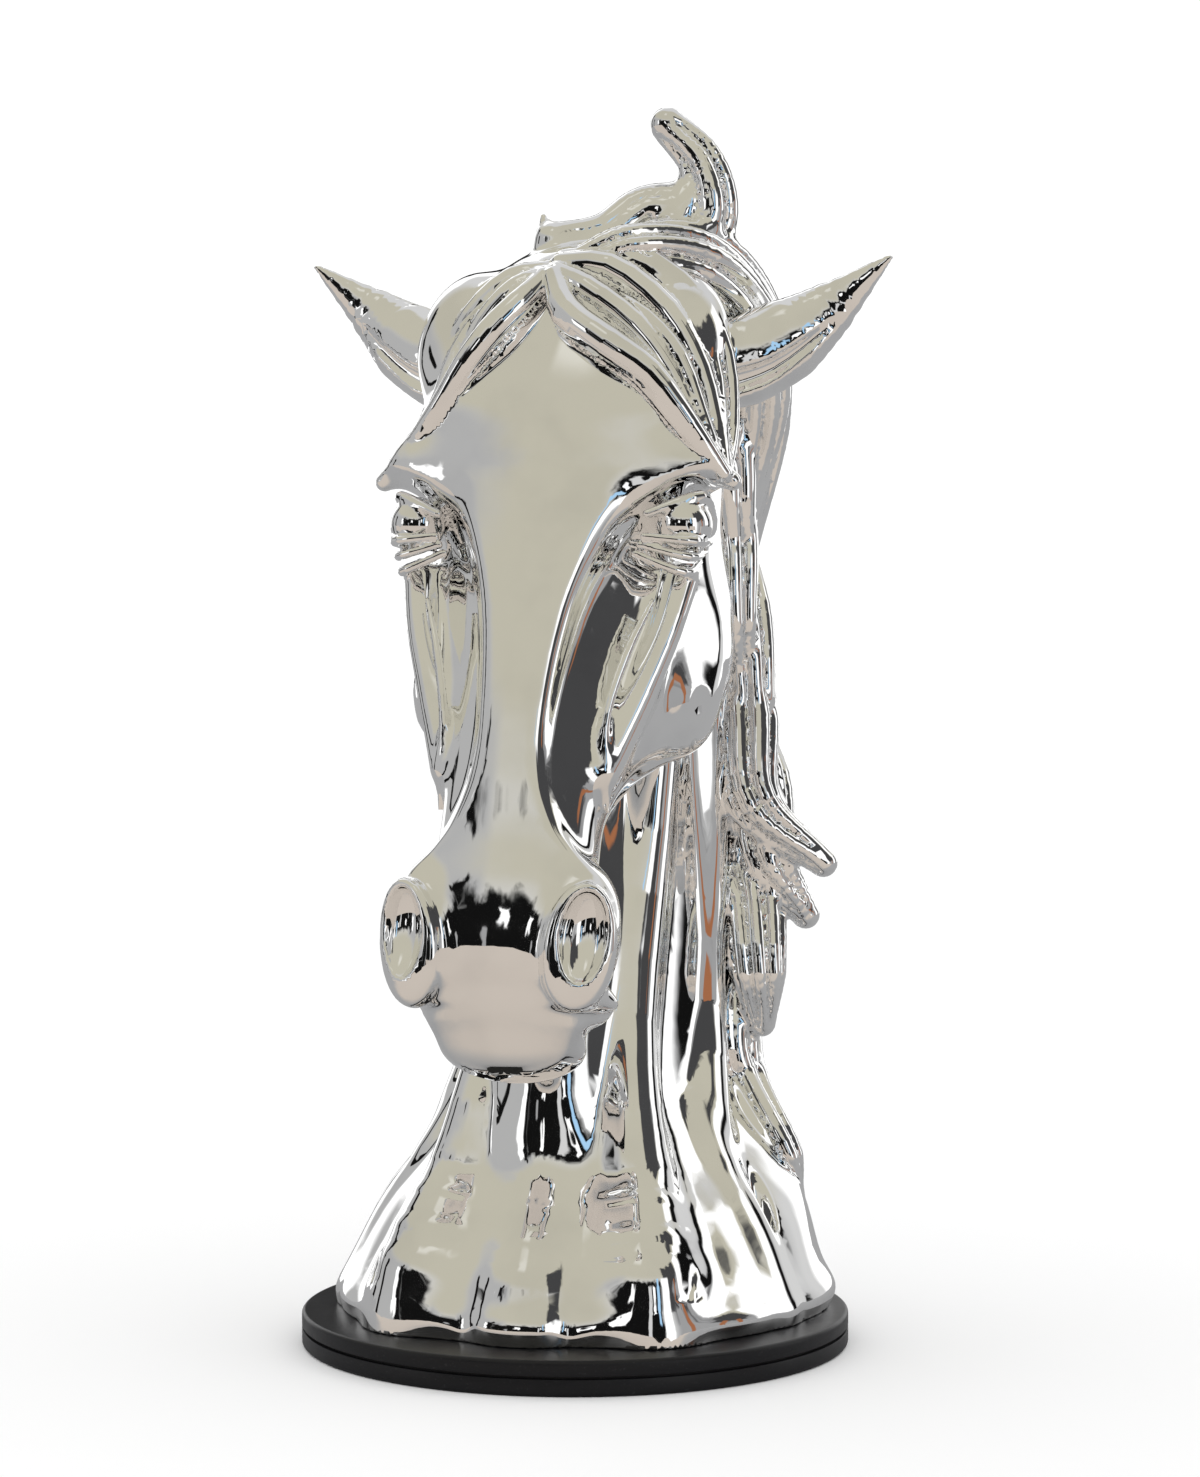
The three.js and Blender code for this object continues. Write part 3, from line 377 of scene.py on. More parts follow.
@dataclass
class Head:
    """The bare head, in its own frame, carved on both sides at once."""

    eye_centre: Triple = (7.4, 1.5, 15.9)
    eye_radius: float = 1.5
    eye_turn: float = math.radians(52)
    eye_slant: float = 0.35
    nostril_centre: Triple = (4.6, 1.4, 39.6)
    nostril_turn: float = math.radians(26)
    nostril_lean: float = 0.15
    nostril_slope: float = 0.42
    nostril_half: tuple[float, float] = (1.5, 2.75)
    rim_points: int = 13
    rim_radius: float = 0.3
    face_span: tuple[float, float] = (3.0, 41.2)
    face_edge: float = 0.9
    face_tilt: float = 0.36
    face_softness: float = 2.5
    lids: Sequence[Triple] = (
        # how far above the eye's middle, how far out, radius
        (1.3, 1.15, 0.36),
        (-1.3, 1.1, 0.3),
        (-2.1, 0.8, 0.26),
        (-2.9, 0.45, 0.28),
    )
    lid_corners: Sequence[Triple] = ((-2.3, 0.5, 1.4), (0, 1, 0), (2.2, 0.6, 1.7))  # along, rise, sunk
    lid_taper: float = 0.7
    skull_back_squareness: float = 2.3
    skull_ends: tuple[float, float] = (-1.6, 44.9)
    skull_end_blend: float = 2.2

    skull_rows = Profile(
        [
            # s, half width, where it is widest, front, back, squareness of the front
            (-2, 4.2, -1.5, 2.0, -5.0, 2.0),
            (2, 6.3, -0.8, 4.1, -7.0, 2.4),
            (6, 7.4, -0.6, 5.0, -8.8, 2.8),
            (10, 8.0, -0.6, 5.3, -10.4, 3.0),
            (13, 8.0, -1.2, 4.8, -11.4, 2.3),
            (16, 7.6, -2.8, 4.1, -12.4, 1.6),
            (19, 8.3, -4.2, 3.8, -12.6, 1.4),
            (22, 8.4, -4.6, 3.6, -11.6, 1.35),
            (25, 7.5, -3.8, 3.4, -9.6, 1.4),
            (28, 5.5, -1.8, 3.2, -7.4, 1.6),
            (31, 4.3, -0.4, 3.0, -6.0, 1.9),
            (34, 4.2, -0.4, 2.55, -5.2, 2.1),
            (36, 4.5, -0.6, 2.4, -4.9, 2.2),
            (38, 4.7, -0.9, 1.9, -4.8, 2.3),
            (39.7, 4.6, -1.2, 1.3, -4.8, 2.3),
            (41.2, 4.5, -1.5, 0.6, -4.8, 2.3),
            (42.7, 4.1, -2.2, -0.4, -4.7, 2.2),
            (44, 3.5, -2.8, -1.8, -4.5, 2.1),
            (45.2, 2.6, -3.4, -3.0, -3.9, 2.0),
        ]
    )
    face_rows = Profile(
        [
            # s, half width, front
            (3.0, 1.6, 4.7),
            (6, 4.6, 5.3),
            (10, 7.2, 5.6),
            (12.9, 8.9, 5.4),
            (14.4, 6.6, 5.2),
            (16.2, 4.7, 5.0),
            (18.8, 3.4, 4.75),
            (22, 2.5, 4.55),
            (27, 1.95, 4.1),
            (31, 2.05, 3.5),
            (33.4, 3.0, 3.05),
            (35.4, 4.6, 2.75),
            (36.8, 5.2, 2.6),
            (38.0, 4.8, 2.38),
            (39.0, 3.9, 2.1),
            (40.0, 3.4, 1.72),
            (41.0, 3.2, 1.2),
        ]
    )

    def skull(self, points: Array) -> Array:
        """Depth inside the skull."""
        x, n, s = points
        half_width, widest, front, back, squareness = self.skull_rows(s)
        ahead = n > widest
        half_depth = np.where(ahead, front - widest, widest - back)
        square = np.where(ahead, squareness, self.skull_back_squareness)
        depth = oval(x, n - widest, half_width, half_depth, square)
        ends = np.maximum(self.skull_ends[0] - s, s - self.skull_ends[1])
        return smooth_max(depth, ends, self.skull_end_blend)

    def face_plane(self) -> Form:
        """The front of the face: a shield over the forehead, the nasal bone, the spread below."""
        head = self

        class Shield(Form):
            """The flat front of the face."""

            centre = np.array([0, 2, 19.6])
            radius = 23.0

            def depth(self, points: Array) -> Array:
                """Depth inside the shield."""
                x, n, s = points
                half_width, front = head.face_rows(s)
                ends = np.maximum(head.face_span[0] - s, s - head.face_span[1])
                soft = head.face_softness
                top = n - front + head.face_tilt * (np.sqrt(x * x + soft * soft) - soft)
                side = smooth_max(x - half_width, top, head.face_edge)
                return smooth_max(side, np.maximum(-n, ends), head.face_edge)

        return Shield()

    def eye_point(self, along: float, up: float, out: float) -> Triple:
        """A point round the eye: along the slit, up the lids and out of the socket."""
        x, n, s = self.eye_centre
        sin, cos = math.sin(self.eye_turn), math.cos(self.eye_turn)
        return (
            x + along * cos + out * sin,
            n - along * sin + out * cos,
            s - up - along * self.eye_slant,
        )

    def fold(self, up: float, out: float, thick: float) -> Form:
        """A fold of skin over or under the eye.

        Args:
            up: How far above the eye's middle it runs.
            out: How far it stands out.
            thick: Its radius in the middle.

        Returns:
            The fold.
        """
        line = [self.eye_point(at, up * rise, out - sunk) for at, rise, sunk in self.lid_corners]
        corner = thick * self.lid_taper
        return Limb(line, [corner, thick, corner], smooth=5)

    def nostril_point(self, across: float, up: float, out: float) -> Triple:
        """A point on the nostril's plane: across it, up it and out of it."""
        x, n, s = self.nostril_centre
        sin, cos = math.sin(self.nostril_turn), math.cos(self.nostril_turn)
        aside = across + up * self.nostril_lean
        return (
            x + aside * cos + out * sin,
            n - aside * sin + out * cos + up * self.nostril_slope,
            s - up,
        )

    def nostril_rim(self) -> list[Triple]:
        """Points round the nostril's rim."""
        wide, high = self.nostril_half
        turns = np.linspace(0, 2 * math.pi, self.rim_points)
        return [self.nostril_point(wide * math.cos(t), high * math.sin(t), 0) for t in turns]

    def clay(self) -> Clay:
        """The carved head."""
        clay = Clay(self.skull)
        clay.add(self.face_plane(), 0.7)
        clay.add(Ellipsoid([5.4, 1.8, 5.4], [3.3, 2.5, 4.6]), 1.0)  # temple
        brow = [[4.4, 2.6, 12.2], [7.4, 2.2, 12.6], [9.7, 1.4, 13.3]]
        clay.add(Limb(brow, [0.7, 0.8, 0.5], smooth=4), 1.5)
        hollow = [[5.9, 4.8, 16.2], [5.0, 4.5, 19.5], [4.0, 4.3, 27]]
        clay.carve(Limb(hollow, [1.0, 0.7, 0.4]), 1.8)
        crest = [[7.4, 0.2, 18.4], [6.9, 0.2, 21.4], [5.9, 0.1, 25.0], [4.6, 0.2, 29.5]]
        clay.add(Limb(crest, [0.8, 0.7, 0.6, 0.3], smooth=4), 1.8)
        clay.carve(Ellipsoid(self.eye_point(0, 0.1, 1.9), [1.9, 1.5, 1.7]), 1.2)  # socket
        clay.add(Ellipsoid(self.eye_centre, [self.eye_radius] * 3), 0.12)
        for up, out, thick in self.lids:
            clay.add(self.fold(up, out, thick), 0.3)
        vein = [[6.2, 1.6, 20.4], [5.2, 1.7, 23.5], [4.4, 1.3, 27.5], [4.6, -0.6, 31.5]]
        clay.add(Limb(vein, [0.16, 0.26, 0.24, 0.12], smooth=5), 0.5)
        clay.carve(Ellipsoid([9.8, -2.2, 21.5], [2.0, 2.4, 3.8]), 1.2)  # under the cheek's crest
        clay.add(Ellipsoid([5.6, -6.6, 18.6], [2.7, 5.6, 6.2]), 1.2)  # jowl
        clay.add(Ellipsoid([6.0, -5.2, 23.2], [2.2, 3.4, 2.8]), 1.0)  # lower jowl
        clay.carve(Ellipsoid([8.6, -3.4, 24.2], [0.7, 0.9, 1.1]), 0.5)  # dent in the jowl
        clay.carve(Ellipsoid([6.6, -5.0, 31.2], [2.2, 3.0, 3.8]), 1.6)  # hollow of the jaw
        clay.add(Ellipsoid([4.2, 0.0, 38.8], [2.0, 2.2, 3.9]), 1.2)  # nostril's wing
        clay.add(Limb(self.nostril_rim(), [self.rim_radius] * self.rim_points, smooth=3), 0.7)
        clay.carve(Ellipsoid(self.nostril_point(0, 0, 0.8), [1.25, 1.4, 2.6]), 0.15)  # its bowl
        clay.add(Ellipsoid([0, -2.9, 41.2], [5.7, 2.9, 1.8]), 0.9)  # lips
        clay.add(Ellipsoid([0, -4.2, 43.3], [3.9, 2.6, 1.8]), 0.8)  # chin
        mouth = [[2.2, -0.2, 42.9], [3.6, -0.7, 42.8], [4.8, -1.9, 42.4], [5.3, -3.6, 41.6]]
        clay.carve(Limb(mouth, [0.08, 0.24, 0.3, 0.2], smooth=3), 0.6)
        return clay


@dataclass
class Neck:
    """The neck and the breast, carved on both sides at once."""

    front_squareness: float = 1.9
    back_squareness: float = 2.1
    top: float = 57.4
    lip_flare: float = 0.6
    lip_height: float = 1.2
    lip_level: float = 0.9
    lip_waves: int = 7
    lip_wave: float = 0.35

    rows = Profile(
        [
            # z, half width, front y, back y, share of the depth where it is widest
            (-3, 13.3, -11.6, 13.4, 0.52),
            (0, 13.2, -11.5, 13.4, 0.52),
            (1.5, 13.1, -11.4, 13.5, 0.53),
            (3, 12.8, -10.9, 13.6, 0.55),
            (6, 11.6, -8.9, 13.6, 0.58),
            (8.5, 9.9, -7.4, 13.6, 0.66),
            (11, 7.9, -7.0, 13.7, 0.72),
            (14, 7.0, -6.4, 13.9, 0.74),
            (20, 6.5, -4.2, 14.6, 0.7),
            (30, 5.8, 0.2, 15.4, 0.64),
            (38, 5.4, 1.0, 15.6, 0.6),
            (45, 5.3, 0.0, 14.6, 0.56),
            (51, 5.2, -0.4, 12.4, 0.5),
            (55, 4.6, 0.4, 9.8, 0.5),
            (58.5, 2.6, 1.8, 6.8, 0.5),
        ]
    )

    def core(self, points: Array) -> Array:
        """Depth inside the bare neck with the rolled lip of its foot."""
        x, y, z = points
        half_width, front, back, share = self.rows(z)
        widest = front + (back - front) * share
        ahead = y < widest
        half_depth = np.where(ahead, widest - front, back - widest)
        square = np.where(ahead, self.front_squareness, self.back_squareness)
        depth = oval(x, y - widest, half_width, half_depth, square)
        turn = np.arctan2(x, widest - y)
        wave = 1 + self.lip_wave * np.cos(self.lip_waves * turn)
        lip = self.lip_flare * np.exp(-(((z - self.lip_level) / self.lip_height) ** 2)) * wave
        return smooth_max(depth - lip, z - self.top, 2.5)

    def clay(self) -> Clay:
        """The carved neck."""
        clay = Clay(self.core)
        middle = [[0, -9.5, -1], [0, -9.1, 2.4], [0, -6.4, 7.4], [0, -4.4, 12]]
        clay.add(Limb(middle, [2.5, 2.5, 1.4, 0.6], smooth=3), 1.2)
        side = [[6.4, -7.9, -1], [6.0, -7.5, 2.6], [4.9, -5.0, 8], [3.8, -3.0, 13]]
        clay.add(Limb(side, [3.1, 3.0, 1.8, 0.8], smooth=3), 1.4)
        clay.carve(Ellipsoid([8.9, -8.7, 4.9], [0.3, 0.8, 1.7]), 0.9)  # pinch beside it
        crease = [[3.2, -12.6, 0], [3.0, -10.9, 5], [2.4, -8.9, 9.5]]
        clay.carve(Limb(crease, [0.8, 0.8, 0.2]), 1.0)
        edge = [[6.4, 5.0, 31], [7.3, 4.5, 24], [8.6, 3.0, 15.5], [11.4, -1.6, 1]]
        clay.carve(Limb(edge, [0.3, 0.4, 0.5, 0.7], smooth=4), 0.5)
        windpipe = [[0, 1.8, 40], [0, 1.0, 30], [0, -1.7, 20], [0, -4.3, 12], [0, -4.6, 5]]
        clay.add(Limb(windpipe, [2.2, 2.1, 2.2, 2.2, 1.4], smooth=3), 0.7)
        front_muscle = [
            [4.2, 4.2, 38], [3.6, 1.8, 26], [3.6, -2.0, 16], [4.6, -4.7, 9], [5.2, -4.6, 3],
        ]
        clay.add(Limb(front_muscle, [1.2, 1.4, 1.5, 1.7, 1.4], smooth=3), 0.8)
        side_muscle = [[4.6, 9.0, 44], [5.2, 7.4, 28], [5.6, 5.0, 16], [7.0, 0.6, 8], [8.2, 0.4, 2]]
        clay.add(Limb(side_muscle, [1.5, 1.6, 1.6, 1.9, 1.6], smooth=3), 0.8)
        shoulder = [[6.2, 0.6, 11.0], [8.9, -0.9, 6.4], [11.6, -2.2, 0.6]]
        clay.add(Limb(shoulder, [0.7, 1.0, 1.2], smooth=3), 1.0)
        return clay

    def ears(self, clay: Clay) -> None:
        """Adds the ears, swept out to the sides like horns, with a hollow behind."""
        line = [
            [6.8, 2.4, 51.2], [8.6, 3.2, 51.8], [10.7, 4.2, 52.9], [13.0, 4.9, 54.6], [16.5, 4.6, 57.4],
        ]
        clay.add(Limb(line, [2.3, 2.5, 2.3, 1.5, 0.16], smooth=4, flatten=(1, 1.5, 1)), 0.8)
        seam = [[8.2, 1.2, 50.4], [10.6, 2.3, 51.4], [13.6, 3.8, 53.9]]
        clay.carve(Limb(seam, [0.7, 0.5, 0.15], smooth=4), 0.3)
        hollow = [[8.8, 5.6, 50.6], [11.0, 6.2, 52.2], [13.8, 6.0, 54.8]]
        clay.carve(Limb(hollow, [1.2, 1.3, 0.5], smooth=4), 0.5)


@dataclass
class Hair:
    """The forelock, the locks at the poll and the mane."""

    neck: Neck
    mane_ground: float = 7.0
    off_fall: float = 0.55
    off_forward: float = 0.6
    unruly: float = 0.5
    forelock_strands: int = 10
    forelock_join: float = 0.08
    waves: Sequence[Triple] = ((1, 2.4, 3.0), (2, 1.7, 4.0))  # axis, from strand to strand, along one
    girths: tuple[float, float] = (0.75, 0.6)  # the thinnest strand's, and the range above it
    uneven: float = 0.618  # spreads the girths without a pattern
    stations: Sequence[Triple] = (
        # share of the fall, how far out, how far ahead
        (0, 0.1, 0.1),
        (0.18, 0.75, 0.25),
        (0.5, 1.0, 0.8),
        (0.8, 1.0, 1.0),
        (1, 1.0, 0.85),
    )
    mane_rows: Sequence[Sequence[float]] = (
        # top, fall, swing, forward, how far the tip turns out
        (55, 15, 1.2, 6.6, 0.1),
        (51, 17, 1.3, 7.6, 0.2),
        (46, 16, 1.9, 6.4, 0.2),
        (41, 17, 2.3, 7.8, 4.0),
        (36, 15, 2.8, 6.6, 2.2),
        (30, 15, 2.0, 7.4, 0.2),
        (24, 14, -0.3, 6.0, 0.1),
        (18, 13, -0.8, 7.2, 0.0),
    )

    def fan(
        self,
        upper: Sequence[Sequence[float]],
        lower: Sequence[Sequence[float]],
        thick: float,
    ) -> list[tuple[Form, float]]:
        """A fan of forelock strands between two edge curves, in the head's frame.

        Args:
            upper: The first strand's points.
            lower: The last strand's points.
            thick: A strand's radius at its thickest.

        Returns:
            The strands, each with its blend.
        """
        a, b = np.array(upper, float), np.array(lower, float)
        along = np.linspace(0, 1, len(a))
        radii = thick * (0.45 + 0.55 * np.sin(math.pi * np.minimum(1, along * 0.8 + 0.2)))
        strands = []
        for i, share in enumerate(np.linspace(0, 1, self.forelock_strands)):
            girth = self.girths[0] + self.girths[1] * (i * self.uneven % 1)
            points = a + (b - a) * share
            for axis, by_strand, by_run in self.waves:
                wave = np.sin(by_strand * i + by_run * along)
                points[:, axis] += self.unruly * wave * np.sin(math.pi * along)
            limb = Limb(points, radii * girth, smooth=3, placed=from_head)
            strands.append((limb, self.forelock_join))
        return strands

    def forelock(self) -> list[tuple[Form, float]]:
        """The forelock, which parts over the forehead and falls to the brows' corners."""
        left_upper = [
            [-0.2, 4.4, 1.2], [3.3, 3.8, 0.4], [7.0, 2.4, 2.4],
            [8.7, 1.4, 5.6], [9.3, 1.0, 10.0], [9.4, 1.7, 13.0],
        ]
        left_lower = [
            [-0.4, 5.4, 3.2], [0.6, 6.0, 5.8], [2.9, 6.0, 7.8],
            [5.2, 5.4, 9.4], [7.5, 4.2, 11.6], [9.4, 2.1, 13.2],
        ]
        right_upper = [
            [-0.9, 4.4, 1.8], [-3.4, 3.8, 1.8], [-6.2, 2.6, 3.4],
            [-7.5, 1.8, 6.2], [-7.5, 2.0, 9.2], [-9.0, 1.7, 12.4],
        ]
        right_lower = [
            [-1.0, 5.2, 3.0], [-1.9, 5.7, 4.8], [-3.0, 5.7, 6.6],
            [-4.3, 5.4, 8.6], [-6.1, 4.5, 10.8], [-9.1, 2.1, 13.0],
        ]
        return [*self.fan(left_upper, left_lower, 0.66), *self.fan(right_upper, right_lower, 0.58)]

    def poll_locks(self) -> list[tuple[Form, float]]:
        """The locks that stand up at the poll, and those that sweep over it."""
        sweep = [
            [-0.4, -1.2, 56.4], [3.0, 0.2, 57.6], [6.0, 3.4, 57.0],
            [7.7, 6.6, 54.4], [8.2, 8.8, 50.2], [6.9, 10.0, 44],
        ]
        under = [
            [0.6, 2.4, 57.0], [4.2, 4.0, 58.2], [6.6, 6.8, 56.8],
            [7.9, 9.6, 53.4], [7.7, 11.4, 48.6], [6.4, 12.4, 42],
        ]
        raised = [[4.2, 6.2, 57.6], [5.8, 6.4, 60.2], [5.4, 6.4, 63.0], [3.6, 6.2, 65.0]]
        ridge = [[-1.9, 2.6, 58.5], [0.4, 4.2, 58.9], [2.3, 5.6, 60.2], [4.2, 6.2, 60.2]]
        peak = [[-1.4, 2.0, 55.6], [-2.1, 2.4, 57.8], [-2.6, 2.8, 59.8]]
        right = [[-1.8, 2.2, 56.0], [-4.2, 2.2, 55.6], [-6.0, 1.8, 54.7]]
        fine = Strands(count=8, groove=0.22, twist=1.6)
        return [
            (Limb(sweep, [0.9, 1.6, 2.0, 2.1, 1.8, 1.1], 7, strands=fine), 0.4),
            (Limb(under, [1.2, 1.6, 1.9, 1.9, 1.7, 1.0], 7, strands=fine), 0.4),
            (Limb(raised, [2.3, 1.8, 1.35, 1.0], 7, strands=Strands(5, 0.24, 2.2)), 0.7),
            (Limb(ridge, [1.0, 1.2, 1.4, 1.7], 6, strands=Strands(5, 0.12, 1.0)), 0.6),
            (Limb(peak, [1.6, 0.9, 0.2], 6, flatten=(1, 1.3, 1)), 0.4),
            (Limb(right, [1.1, 1.0, 1.0], 6, strands=Strands(5, 0.14, 1.4)), 0.5),
        ]

    def along(self, row: Sequence[float], share: float, lift: float, ahead: float) -> Array:
        """A point of a mane lock.

        Args:
            row: The lock's row.
            share: How far down its fall.
            lift: How far out, as a share of the neck's half width.
            ahead: How far forward, as a share of the row's forward run.

        Returns:
            The point.
        """
        z = row[0] - row[1] * share
        half_width, _, back, _ = self.neck.rows(np.array([max(z, self.mane_ground)]))[:, 0]
        return np.array([half_width * lift, back - row[3] * ahead, z])

    def mane(self) -> list[tuple[Form, float]]:
        """The crest, and the locks that leave it one below the other."""
        crest = [
            [1.4, 6.0, 56.6], [1.6, 11.0, 53], [1.4, 14.0, 45], [1.2, 14.6, 34],
            [1.0, 14.0, 20], [0.7, 12.4, 6], [0.6, 12.2, 0],
        ]
        under = [[5.0, 9.4, 47], [5.5, 9.8, 36], [5.9, 9.4, 26], [6.1, 8.8, 17]]
        locks: list[tuple[Form, float]] = [
            (Limb(crest, [2.4, 2.4, 2.1, 2.0, 1.8, 1.6, 1.5], 5, strands=Strands(14, 0.12, 4.0)), 1.2),
            (Limb(under, [1.3, 1.6, 1.6, 1.2], 3), 0.8),
            (Ellipsoid([5.6, 6.4, 50.0], [2.0, 3.4, 5.8]), 0.8),
        ]
        for i, row in enumerate(self.mane_rows):
            _, _, swing, _, turn_out = row
            points = [self.along(row, *station) for station in self.stations]
            for point, out in zip(points, (0, 0, swing * 0.7, swing, swing * 0.8 + turn_out)):
                point[0] += out
            strands = Strands(6 + i % 3, 0.2 + 0.05 * (i % 2), 1.5, phase=0.9 * i)
            locks.append((Limb(points, [1.3, 1.9, 1.9, 1.6, 0.8], 7, strands=strands), 0.35))
            off = [
                self.along(row, 0, 0.1, 0.05),
                self.along(row, self.off_fall * 0.4, 0.7, self.off_forward * 0.4),
                self.along(row, self.off_fall, 0.92, self.off_forward),
            ]
            mirrored = [point * (-1, 1, 1) for point in off]
            locks.append((Limb(mirrored, [1.4, 1.5, 0.6], 7, strands=Strands(8, 0.15, 1.0)), 0.4))
        return locks


@dataclass
class Horse:
    """The whole figure as one depth, in modules."""

    head: Head = field(default_factory=Head)
    neck: Neck = field(default_factory=Neck)
    throat: float = 0.9
    foot_end: float = -1.4

    def depth(self) -> Depth:
        """The figure's depth function."""
        head, body = self.head.clay(), self.neck.clay()
        self.neck.ears(body)
        hair = Hair(self.neck)

        def bare(points: Array) -> Array:
            """Depth inside the horse without its hair."""
            side = np.stack([np.abs(points[0]), points[1], points[2]])
            return smooth_min(head.depth(to_head(side)), body.depth(side), self.throat)

        clay = Clay(bare)
        for form, blend in [*hair.mane(), *hair.poll_locks(), *hair.forelock()]:
            clay.add(form, blend)
        return lambda points: np.maximum(clay.depth(points), self.foot_end - points[2])


class Quality(Enum):
    """How finely the bust is cast: the grid's step in modules."""

    FINE = 0.2
    DRAFT = 0.3


@dataclass
class Casting:
    """Casts a depth function as a closed mesh of triangles."""

    depth: Depth
    low: Triple
    high: Triple
    step: float
    coarsest: int = 4
    chunk: int = 30000
    workers: int = 4
    probe: float = 0.04
    stride: float = 0.1
    half_diagonal: float = 0.87  # of a cell, in steps
    slack: float = 1.3  # how far the depth may be from a true distance
    just_inside: float = -1e-3
    least_slope: float = 0.2

    def measure(self, points: Array) -> Array:
        """The depth at many points, worked out in chunks side by side.

        Args:
            points: Three rows of coordinates.

        Returns:
            The depths.
        """
        parts = [points[:, i : i + self.chunk] for i in range(0, points.shape[1], self.chunk)]
        with ThreadPoolExecutor(self.workers) as pool:
            return np.concatenate(list(pool.map(self.depth, parts)))

    def place(self, index: Array, scale: int) -> Array:
        """Coordinates of grid points given as three rows of indices."""
        return np.array(self.low)[:, None] + index * (self.step * scale)

    def grid(self) -> Array:
        """The depth on the grid, true near the surface and right in sign elsewhere.

        Returns:
            A block of depths.
        """
        size = np.array(self.high) - np.array(self.low)
        cells = np.ceil(size / (self.step * self.coarsest)).astype(int)
        factor = self.coarsest
        index = np.stack(np.meshgrid(*[np.arange(c + 1) for c in cells], indexing="ij"))
        shape = index.shape[1:]
        values = self.measure(self.place(index.reshape(3, -1), factor)).reshape(shape)
        values = values.astype(np.float32)
        while factor > 1:
            reach = self.half_diagonal * self.step * factor * self.slack
            near = np.abs(values) < reach
            active = near[:-1, :-1, :-1].copy()
            for corner in range(1, 8):
                di, dj, dk = corner & 1, corner >> 1 & 1, corner >> 2
                nx, ny, nz = (n - 1 for n in near.shape)
                active |= near[di : di + nx, dj : dj + ny, dk : dk + nz]
            factor //= 2
            finer = tuple(2 * (n - 1) + 1 for n in values.shape)
            rows = [np.arange(n) // 2 for n in finer]
            values = values[np.ix_(*rows)]
            lower = [np.minimum(r, n - 1) for r, n in zip(rows, active.shape)]
            index = np.argwhere(active[np.ix_(*lower)]).T
            values[tuple(index)] = self.measure(self.place(index, factor))
        return values

    def close_diagonals(self, values: Array) -> None:
        """Fills a corner of each cell face that is solid at two opposite corners only."""
        while True:
            found = 0
            for u, v in ((1, 2), (2, 0), (0, 1)):
                lines = np.moveaxis(values, (u, v), (0, 1))
                corners = [lines[:-1, :-1], lines[1:, :-1], lines[1:, 1:], lines[:-1, 1:]]
                solid = [corner < 0 for corner in corners]
                mixed = (solid[0] == solid[2]) & (solid[1] == solid[3]) & (solid[0] != solid[1])
                for place in np.argwhere(mixed):
                    found += 1
                    i, j, k = place
                    spots = [(i, j, k), (i + 1, j, k), (i + 1, j + 1, k), (i, j + 1, k)]
                    empty = [spot for spot in spots if lines[spot] >= 0]
                    if empty:
                        lines[min(empty, key=lambda spot: lines[spot])] = self.just_inside
            if not found:
                return

    def net(self) -> tuple[Array, Array]:
        """The surface as vertices and triangles.

        Returns:
            Vertices, one a row, and triangles of their numbers.
        """
        values = self.grid()
        self.close_diagonals(values)
        inside = values < 0
        cells = np.array(values.shape)
        rings, spots = [], []
        for axis in range(3):
            u, v = (axis + 1) % 3, (axis + 2) % 3
            start = inside.take(np.arange(cells[axis] - 1), axis)
            end = inside.take(np.arange(1, cells[axis]), axis)
            edge = np.argwhere(start != end)
            step = np.eye(3, dtype=int)
            at, to = values[tuple(edge.T)], values[tuple((edge + step[axis]).T)]
            spot = edge + step[axis] * (at / (at - to))[:, None]
            ring = np.stack(
                [
                    np.ravel_multi_index((edge - a * step[u] - b * step[v]).T, tuple(cells))
                    for a, b in ((0, 0), (1, 0), (1, 1), (0, 1))
                ],
                axis=1,
            )
            out = ~inside[tuple(edge.T)]
            ring[out] = ring[out][:, ::-1]
            rings.append(ring)
            spots.append(np.repeat(spot, 4, axis=0))
        quads = np.concatenate(rings)
        _, number = np.unique(quads, return_inverse=True)
        number = number.reshape(-1)
        weight = np.bincount(number)
        spots_all = np.concatenate(spots)
        vertices = np.stack(
            [np.bincount(number, weights=spots_all[:, c]) / weight for c in range(3)], axis=1
        )
        vertices = np.array(self.low) + vertices * self.step
        quads = number.reshape(-1, 4)
        a, b, c, d = (vertices[quads[:, i]] for i in range(4))
        short = np.linalg.norm(a - c, axis=1) <= np.linalg.norm(b - d, axis=1)
        first = np.where(short[:, None], quads[:, [0, 1, 2]], quads[:, [0, 1, 3]])
        second = np.where(short[:, None], quads[:, [0, 2, 3]], quads[:, [1, 2, 3]])
        return self.largest(vertices, np.concatenate([first, second]))

    @staticmethod
    def largest(vertices: Array, triangles: Array) -> tuple[Array, Array]:
        """The biggest shell of the surface, without crumbs and pockets.

        Args:
            vertices: All vertices.
            triangles: All triangles.

        Returns:
            The shell's own vertices and triangles.
        """
        label = np.arange(len(vertices))
        while True:
            least = label[triangles].min(1)
            before = label.copy()
            for c in range(3):
                np.minimum.at(label, triangles[:, c], least)
            label = label[label]
            if (label == before).all():
                break
        kept = triangles[label[triangles[:, 0]] == np.bincount(label[triangles[:, 0]]).argmax()]
        used, number = np.unique(kept, return_inverse=True)
        return vertices[used], number.reshape(-1, 3)

    def slope(self, points: Array) -> tuple[Array, Array]:
        """The depth and its slope, from four probes round each point.

        Args:
            points: Three rows of coordinates.

        Returns:
            The depths, and three rows of slopes.
        """
        corners = np.array([(1, 1, 1), (1, -1, -1), (-1, 1, -1), (-1, -1, 1)])
        probes = [points + corner[:, None] * self.probe for corner in corners]
        values = self.measure(np.concatenate(probes, axis=1)).reshape(4, -1)
        return values.mean(0), corners.T @ values / (4 * self.probe)

